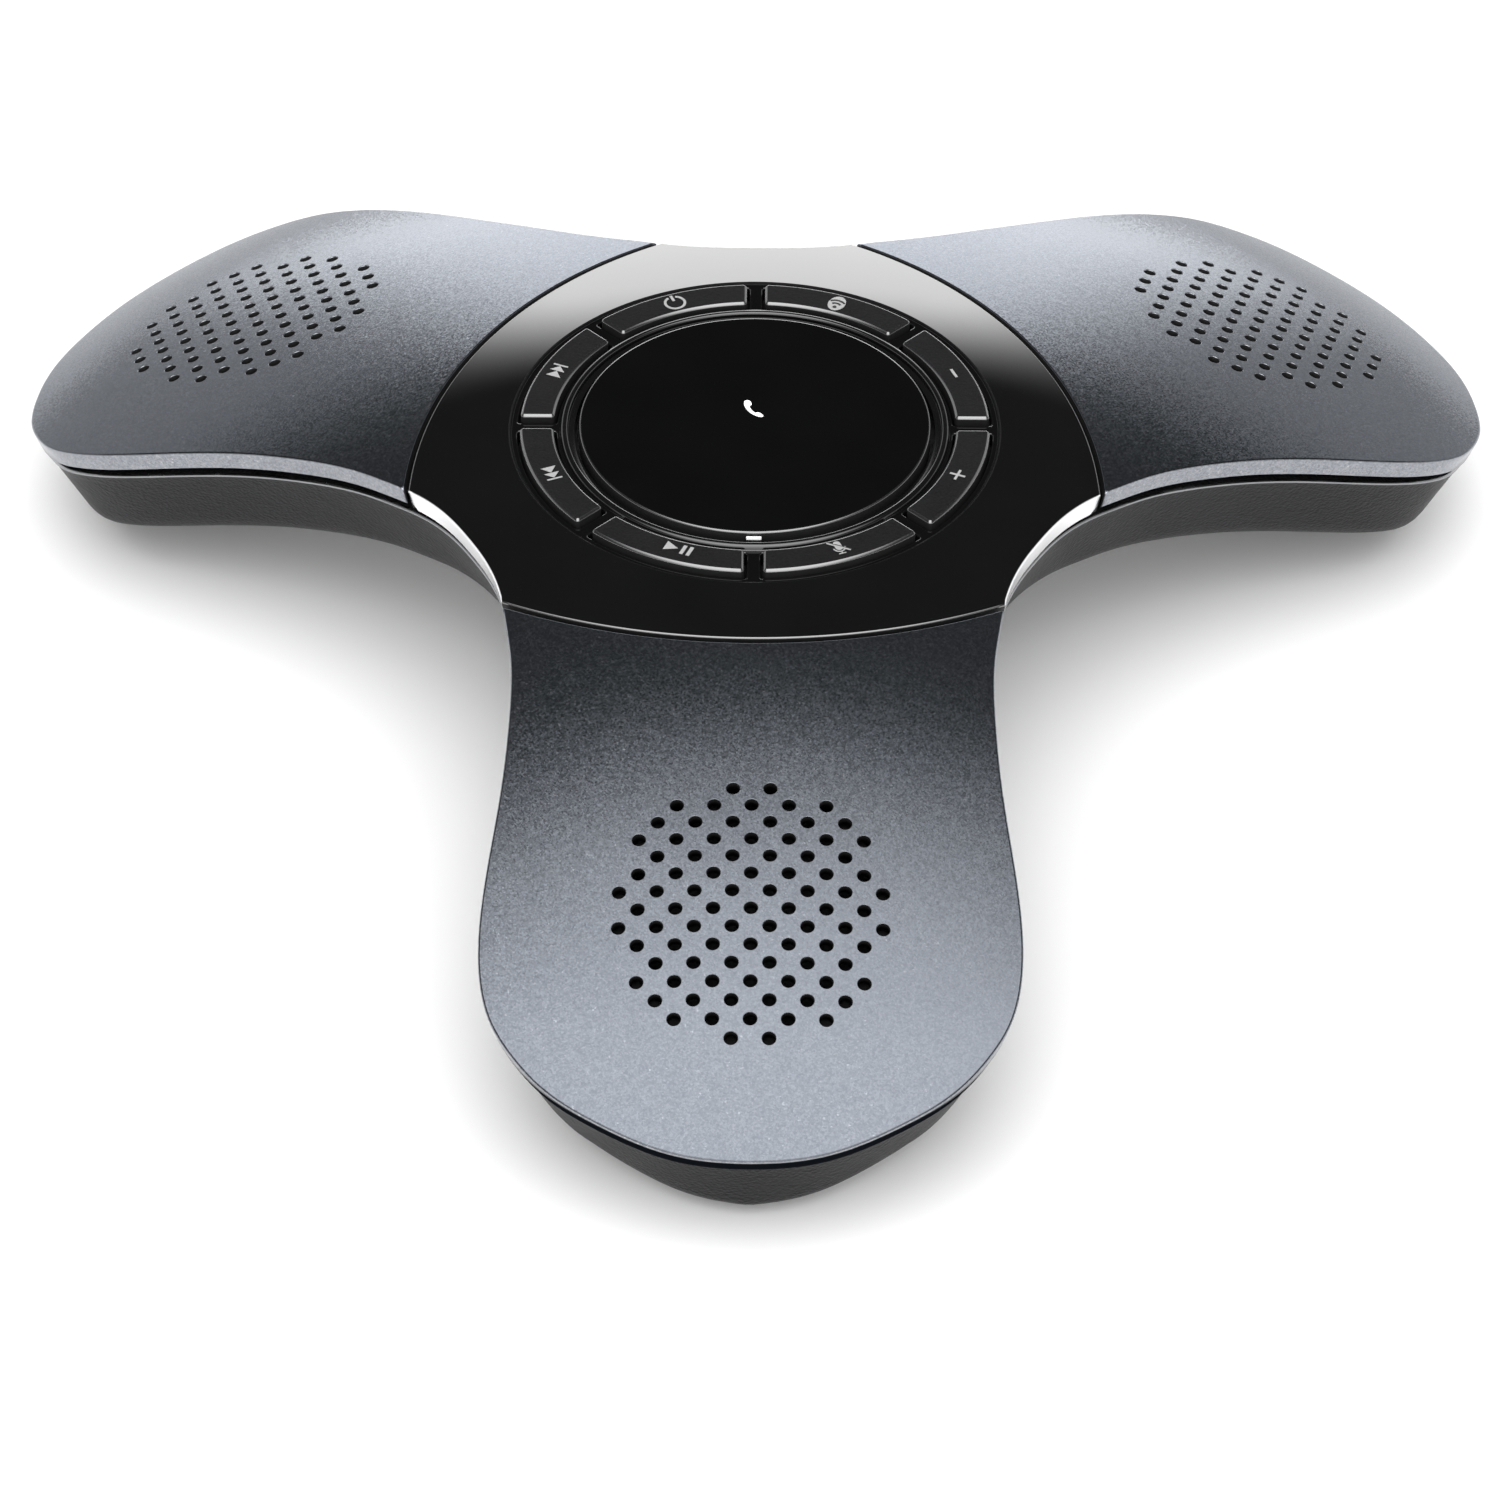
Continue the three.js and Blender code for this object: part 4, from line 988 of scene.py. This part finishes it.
def turning(b, rings, top, low, mats, step=0):
    """A closed solid from rings, highest first, with a cap at each end."""
    j0 = b.points(rings[0])
    j1 = b.strip(rings, first=j0, sign=-1.0, mats=mats)
    b.cap([(rings[0][:, :2], j0)], top, lambda q: np.tile([0, 0, 1.0], (len(q), 1)), step=step, mat=mats[0])
    b.cap([(rings[-1][:, :2], j1)], low, lambda q: np.tile([0, 0, -1.0], (len(q), 1)), step=step, mat=mats[-1], up=False)

def make_casing_extras():
    """The foot pedestals and screw bosses that join the shell, and the screw wells cut out of it."""
    add, cut = Build(), Build()
    for turn in ARM.values():
        for x, y in SCREWS:
            x2, y2 = turned([[x, y]], turn)[0]
            z = float(prof(math.hypot(x, y)))
            c = lambda r: circle(r, 32, x2, y2)
            turning(add, [lift(c(3.8), z - 17.5), lift(c(4.0), z - 17.7), drop(c(4.0), 21.85)],
                    lambda q: lift(q, z - 17.5), lambda q: drop(q, 21.85), [2, 2])
            turning(cut, [lift(c(1.6), z - 17.2), lift(c(1.6), z - 20.6), lift(c(3.2), z - 20.6), lift(c(3.2), z - 27.0)],
                    lambda q: lift(q, z - 17.2), lambda q: lift(q, z - 27.0), [2, 0, 0])
        core = stadium(8.0, 0.0, 114.0, 18)
        unit = stadium(8.0, 1.0, 114.0, 18) - core
        st = lambda off: core + unit * np.broadcast_to(off, len(core))[:, None]
        wide = lambda zz: 7.2 + (zz + 52.5) * (2.8 / 12.5)
        ped = st(8.6)
        for _ in range(8):
            ped = st(wide(prof(np.hypot(ped[:, 0], ped[:, 1])) - 22.8))
        seat = stadium(7.5, 5.3, 114.0, 18)
        rr = [drop(ped, 22.8), lift(st(wide(-52.1)), -52.1), lift(st(7.05), -52.4), lift(st(6.8), -52.5), lift(seat, -52.5), lift(seat, -51.3)]
        turning(add, [turned(r, turn) for r in rr], lambda q: drop(q, 22.8), lambda q: lift(q, -51.3), [0] * 5)
    return add, cut

def combine(ob, other, operation):
    """Joins another closed solid to a closed piece, or cuts it out."""
    m = ob.modifiers.new("combine", "BOOLEAN")
    m.operation, m.object, m.solver = operation, other, SOLVER
    me = bpy.data.meshes.new_from_object(ob.evaluated_get(bpy.context.evaluated_depsgraph_get()))
    ob.modifiers.clear()
    old, used = ob.data, other.data
    ob.data = me
    bpy.data.objects.remove(other, do_unlink=True)
    bpy.data.meshes.remove(old)
    bpy.data.meshes.remove(used)

SOLVER = "EXACT"
CASING = [MAT["casing"], MAT["line"], MAT["inside"]]
casing = make_casing().object("casing", CASING)
more, less = make_casing_extras()
combine(casing, more.object("casing_more", CASING), "UNION")
combine(casing, less.object("casing_less", CASING), "DIFFERENCE")
if "custom_normal" in casing.data.attributes:
    casing.data.attributes.remove(casing.data.attributes["custom_normal"])
casing.data.polygons.foreach_set("use_smooth", [True] * len(casing.data.polygons))
casing.data.set_sharp_from_angle(angle=33 * DEG)
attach(casing, "housing")
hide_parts("lower_casing")

# ---------------------------------------------------------------- feet and screws
for side, ang in ARM.items():
    b = Build()
    s = stadium(7.5, 5.0, 114.0, 22)
    m = outward(s)
    F, T = FLOOR_Z, -51.6
    o = lambda off, z: lift(s - m * off, z)
    rings = [o(0.25, T), o(0, T - 0.25), o(0, F + 0.9), o(0.12, F + 0.5), o(0.4, F + 0.2), o(0.85, F + 0.05), o(1.3, F), o(2.2, F), o(2.32, F + 0.12), o(2.5, F + 0.25), o(2.7, F + 0.28)]
    i0 = b.points(rings[0])
    i1 = b.strip(rings, first=i0, sign=-1.0)
    b.cap([(rings[0][:, :2], i0)], lambda q: lift(q, T), lambda q: np.tile([0, 0, 1.0], (len(q), 1)), step=0)
    b.cap([(rings[-1][:, :2], i1)], lambda q: lift(q, F + 0.28), lambda q: np.tile([0, 0, -1.0], (len(q), 1)), step=0, up=False)
    ob = b.object("foot_pad_" + side, [MAT["rubber"]], turn=ang)
    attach(ob, "housing")
    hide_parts("foot_" + side)

def make_screw(x, y):
    """Pan head with a cross recess, and a threaded shank."""
    b = Build()
    z = float(prof(math.hypot(x, y)))
    zh, zb = z - 22.7, z - 20.9
    cross = []
    w, l = 0.42, 1.45
    for a in range(4):  # cross outline, anticlockwise
        for px, py in ((w, w), (w, l - 0.15), (w - 0.15, l), (-w + 0.15, l), (-w, l - 0.15)):
            c, s = math.cos(a * math.pi / 2), math.sin(a * math.pi / 2)
            cross.append((c * px - s * py, s * px + c * py))
    cross = np.array(cross) + (x, y)
    mid = np.array([x, y])
    C = lambda r, n=32: circle(r, n, x, y)
    # head from the shank side down to its face
    rr = [lift(C(1.25), zb), lift(C(2.75), zb), lift(C(2.8), zb - 0.08), lift(C(2.8), zb - 0.9), lift(C(2.6), zh + 0.35), lift(C(2.2), zh + 0.1), lift(C(1.75), zh)]
    j0 = b.points(rr[0])
    j1 = b.strip(rr, first=j0, n_last=np.tile([0, 0, -1.0], (32, 1)), sign=-1.0, smooth=45)
    m0 = b.points(lift(cross, zh))
    m1 = b.strip([lift(cross, zh), lift(mid + (cross - mid) * 0.55, zh + 1.2)], first=m0, sign=-1.0)
    b.cap([(C(1.75), j1), (cross, m0)], lambda q: lift(q, zh), lambda q: np.tile([0, 0, -1.0], (len(q), 1)), step=0, up=False)
    b.cap([(mid + (cross - mid) * 0.55, m1)], lambda q: lift(q, zh + 1.2), lambda q: np.tile([0, 0, -1.0], (len(q), 1)), step=0, up=False)
    # shank with its thread crests
    tt = [lift(C(1.25), zb)]
    zc = zb
    while zc < z - 10.9:
        tt += [lift(C(1.0), zc + 0.22), lift(C(1.2), zc + 0.5)] if zc > zb + 0.1 else [lift(C(1.0), zc + 0.25), lift(C(1.2), zc + 0.5)]
        zc += 0.6
    tt += [lift(C(0.9), z - 10.6), lift(C(0.5), z - 10.4)]
    k1 = b.strip(tt, first=j0, sign=1.0, smooth=20)
    b.cap([(C(0.5), k1)], lambda q: lift(q, z - 10.4), lambda q: np.tile([0, 0, 1.0], (len(q), 1)), step=0)
    return b

for side, ang in ARM.items():
    for i, (x, y) in enumerate(SCREWS):
        ob = make_screw(x, y).object("screw_%s_%d" % (side, i + 1), [MAT["screw"]], turn=ang)
        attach(ob, "housing")
        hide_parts("casing_screw_%s_%d" % (side, i + 1))

# ---------------------------------------------------------------- printed symbols
def arc_band(r0, r1, a0, a1, cx=0.0, cy=0.0, n=18, sx=1.0, sy=1.0):
    t = np.radians(np.linspace(a0, a1, n))
    o = np.column_stack([cx + sx * r1 * np.cos(t), cy + sy * r1 * np.sin(t)])
    i = np.column_stack([cx + sx * r0 * np.cos(t[::-1]), cy + sy * r0 * np.sin(t[::-1])])
    return np.vstack([o, i])

def bar(x0, x1, y0, y1):
    return np.array([(x0, y0), (x1, y0), (x1, y1), (x0, y1)], float)

def capsule(x, y0, y1, r, n=10):
    t = np.linspace(0, math.pi, n)
    a = np.column_stack([x + r * np.cos(t), y1 + r * np.sin(t)])
    c = np.column_stack([x - r * np.cos(t), y0 - r * np.sin(t)])
    return np.vstack([a, c])

def slanted(x0, y0, x1, y1, w):
    d = np.array([x1 - x0, y1 - y0])
    d /= np.linalg.norm(d)
    p = np.array([-d[1], d[0]]) * w / 2
    a, c = np.array([x0, y0]), np.array([x1, y1])
    return np.array([a - p, c - p, c + p, a + p])

def triangle(x0, x1, y, h):
    """Pointing from x0 towards x1."""
    t = np.array([(x0, y + h), (x0, y - h), (x1, y)], float)
    return t if x1 > x0 else t[::-1]

def handset():
    """A telephone handset: a curved grip between an ear piece and a mouth piece."""
    # grip: an arc that opens to the upper right; both ends bend towards it
    pts = [(-1.62, 2.72), (-1.95, 2.35), (-2.02, 1.7), (-1.86, 0.75), (-1.42, -0.35), (-0.78, -1.35), (0.02, -2.12), (0.82, -2.62), (1.55, -2.8),
           (1.98, -2.62), (1.92, -2.25), (1.5, -1.62), (1.12, -1.3), (0.78, -1.28), (0.38, -1.42), (-0.02, -1.12), (-0.42, -0.52), (-0.72, 0.12),
           (-0.86, 0.72), (-0.68, 1.02), (-0.42, 1.3), (-0.46, 1.75), (-0.72, 2.45), (-1.08, 2.78)]
    q = np.array(pts, float)
    # smooth by two rounds of corner cutting
    for _ in range(2):
        nx = np.roll(q, -1, axis=0)
        q = np.stack([q * 0.75 + nx * 0.25, q * 0.25 + nx * 0.75], axis=1).reshape(-1, 2)
    return q

def ccw(p):
    a = np.sum(p[:, 0] * np.roll(p[:, 1], -1) - np.roll(p[:, 0], -1) * p[:, 1])
    return p if a > 0 else p[::-1]

def symbol(name, body, slot_mat, layers, place):
    """Flat printed shapes: layers is a list of (outline, lower height, upper height, material number)."""
    b = Build()
    for poly, h0, h1, m in layers:
        b.prism(ccw(place(np.asarray(poly, float))), TOP_Z + h0, TOP_Z + h1, 0.0, m)
    o = b.object(name, slot_mat)
    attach(o, body)
    return o

def on_key(k, outward_up, shift=0.0, r=35.1):
    """Places symbol coordinates (x right, y up) on key k; up is away from the hub, or towards it."""
    a = (k + 0.5) * 45 * DEG
    rad, tan = np.array([math.cos(a), math.sin(a)]), np.array([-math.sin(a), math.cos(a)])
    up = rad if outward_up else -rad
    right = np.array([up[1], -up[0]])
    c = rad * r + right * shift
    return lambda p: c + p[:, :1] * right + p[:, 1:] * up

def scaled(layers, kx, ky):
    return [(np.asarray(p, float) * (kx, ky), *rest) for p, *rest in layers]

Z0, Z1 = 0.0, 0.04
INK = [MAT["ink"], MAT["badge_dark"]]
symbol("power_symbol", "power_key", INK, [
    (arc_band(1.42, 1.85, 90 + 22, 450 - 22, n=44), Z0, Z1, 0), (bar(-0.22, 0.22, 0.5, 2.05), Z0, Z1, 0)], on_key(2, True))
oval = np.column_stack([1.45 * np.cos(np.linspace(0, 2 * math.pi, 40, endpoint=False)), 1.95 * np.sin(np.linspace(0, 2 * math.pi, 40, endpoint=False))])
fan = [(circle(0.36, 16, 0, -1.05), Z1 + 0.005, Z1 + 0.025, 1)]
for r in (0.85, 1.65):
    fan.append((arc_band(r, r + 0.4, 47, 133, 0, -1.05), Z1 + 0.005, Z1 + 0.025, 1))
symbol("pairing_symbol", "pairing_key", INK, [(oval, Z0, Z1, 0)] + fan, on_key(1, True))
skip_shapes = lambda s: [(bar(*sorted((s * 2.25, s * 1.85)), -1.5, 1.5), Z0, Z1, 0), (triangle(s * 0.1, s * 1.75, 0, 1.5), Z0, Z1, 0), (triangle(s * -1.85, s * 0.0, 0, 1.5), Z0, Z1, 0)]
symbol("previous_symbol", "previous_key", INK, scaled(skip_shapes(-1), 0.8, 0.85), on_key(3, False))
symbol("next_symbol", "next_key", INK, scaled(skip_shapes(1), 0.8, 0.85), on_key(4, False))
symbol("play_symbol", "play_pause_key", INK, scaled([
    (triangle(-2.6, -0.3, 0, 1.35), Z0, Z1, 0), (bar(0.35, 0.98, -1.35, 1.35), Z0, Z1, 0), (bar(1.55, 2.18, -1.35, 1.35), Z0, Z1, 0)], 0.93, 0.82), on_key(5, False, 1.75, 34.6))
symbol("mic_symbol", "mic_mute_key", INK, scaled([
    (capsule(0, -0.25, 1.05, 0.72), Z0, Z1, 0), (arc_band(1.02, 1.3, 180, 360, 0, -0.25, n=22), Z0, Z1, 0), (bar(-0.15, 0.15, -1.95, -1.6), Z0, Z1, 0), (bar(-0.75, 0.75, -2.2, -1.97), Z0, Z1, 0),
    (slanted(-1.85, 1.85, 1.85, -1.75, 0.34), Z1 + 0.005, Z1 + 0.025, 0), (slanted(-1.65, 2.1, 2.1, -1.5, 0.2), Z1 + 0.005, Z1 + 0.025, 1)], 0.8, 0.8), on_key(6, False, 0.1, 34.6))
symbol("minus_symbol", "volume_down_key", INK, [(bar(-1.15, 1.15, -0.22, 0.22), Z0, Z1, 0)], on_key(0, False))
plus = np.array([(0.2, 0.2), (0.2, 1.3), (-0.2, 1.3), (-0.2, 0.2), (-1.3, 0.2), (-1.3, -0.2), (-0.2, -0.2), (-0.2, -1.3), (0.2, -1.3), (0.2, -0.2), (1.3, -0.2), (1.3, 0.2)])
symbol("plus_symbol", "volume_up_key", INK, [(plus, Z0, Z1, 0)], on_key(7, False))
symbol("call_symbol", "call_button", [MAT["white"]], [(handset() * (0.80, 0.80), Z0, Z1, 0)], lambda p: p + np.array([-0.20, 3.65]))

# ---------------------------------------------------------------- CAD nodes that stay
FINISH = {"key_board": "board", "main_board": "board", "battery_pack": "battery", "charging_socket": "socket"}
for side in ARM:
    FINISH.update({"speaker_gasket_" + side: "rubber", "speaker_frame_" + side: "speaker", "speaker_cone_" + side: "cone", "microphone_" + side: "mic"})
for node, key in FINISH.items():
    ob = frame["nodes"][node]
    ob.data.materials.clear()
    ob.data.materials.append(MAT[key])

# ---------------------------------------------------------------- studio
def floor():
    me = bpy.data.meshes.new("studio_floor")
    s = 6.0
    me.from_pydata([(-s, -s, 0), (s, -s, 0), (s, s, 0), (-s, s, 0)], [], [(0, 1, 2, 3)])
    ob = bpy.data.objects.new("studio_floor", me)
    SCENE.collection.objects.link(ob)
    m = Nodes("studio_paper")
    n = m.noise(0.8, 2.0)
    m.surface(Base_Color=m.mix(n, (FLOOR_ALBEDO * 0.99,) * 3, (FLOOR_ALBEDO,) * 3), Roughness=0.9, Specular_IOR_Level=0.1)
    me.materials.append(m.mat)

def world():
    """A round light tent: a bright low horizon, a dark belt, and a large soft box above, a little to the front."""
    w = bpy.data.worlds.new("studio")
    SCENE.world = w
    w.use_nodes = True
    t = w.node_tree
    t.nodes.clear()
    N = Nodes.__new__(Nodes)
    N.t = t
    N.co = t.nodes.new("ShaderNodeTexCoord").outputs["Generated"]
    sep = t.nodes.new("ShaderNodeSeparateXYZ")
    t.links.new(N.co, sep.inputs[0])
    x, y, z = sep.outputs[0], sep.outputs[1], sep.outputs[2]
    smooth = lambda v, a, b, lo, hi: N.node("ShaderNodeMapRange", p_interpolation_type="SMOOTHSTEP", i_Value=v, i_1=a, i_2=b, i_3=lo, i_4=hi)
    horizon = smooth(z, math.sin(H_LO * DEG), math.sin(H_HI * DEG), 1.0, 0.0)
    flat = N.math("SQRT", N.math("ADD", N.math("MULTIPLY", x, x), N.math("MULTIPLY", y, y)))
    az = N.math("DIVIDE", y, N.math("MAXIMUM", flat, 0.001))
    turn = N.math("ARCCOSINE", N.math("MINIMUM", N.math("MAXIMUM", az, -1.0), 1.0))
    lean = N.math("MULTIPLY", N.math("MAXIMUM", N.math("ARCSINE", z), 0.0), 0.23)
    back = smooth(N.math("ADD", turn, lean), 23.5 * DEG, 12.5 * DEG, 0.0, H_BACK - H_SIDE)
    side = smooth(az, -0.9, 0.5, H_FRONT, H_SIDE)
    horizon = N.math("MULTIPLY", horizon, N.math("ADD", back, side))
    c = Vector((0.0, -math.cos(S_EL * DEG), math.sin(S_EL * DEG)))
    dot = N.node("ShaderNodeVectorMath", out=1, p_operation="DOT_PRODUCT", i_0=N.co, i_1=tuple(c))
    box = smooth(dot, math.cos(S_OUT * DEG), math.cos(S_IN * DEG), 0.0, S_POWER)
    c2 = Vector((0.0, -math.cos(F_EL * DEG), math.sin(F_EL * DEG)))
    dot2 = N.node("ShaderNodeVectorMath", out=1, p_operation="DOT_PRODUCT", i_0=N.co, i_1=tuple(c2))
    front = smooth(dot2, math.cos(F_OUT * DEG), math.cos(F_IN * DEG), 0.0, F_POWER)
    total = N.math("ADD", N.math("ADD", horizon, N.math("MAXIMUM", box, front)), W_FILL)
    bg = t.nodes.new("ShaderNodeBackground")
    t.links.new(total, bg.inputs[1])
    bg.inputs[0].default_value = (1.0, 1.0, 1.0, 1.0)
    out = t.nodes.new("ShaderNodeOutputWorld")
    t.links.new(bg.outputs[0], out.inputs[0])

FLOOR_ALBEDO = 0.97
H_LO, H_HI, H_FRONT, H_SIDE, H_BACK = 20.0, 31.0, 0.6, 0.85, 3.95
F_EL, F_IN, F_OUT, F_POWER = 40.0, 16.0, 46.0, 2.0
S_EL, S_IN, S_OUT, S_POWER = 72.0, 12.0, 45.5, 3.85
W_FILL = 0.02
floor()
world()
SCENE.view_settings.view_transform = "Standard"
SCENE.view_settings.look = "None"
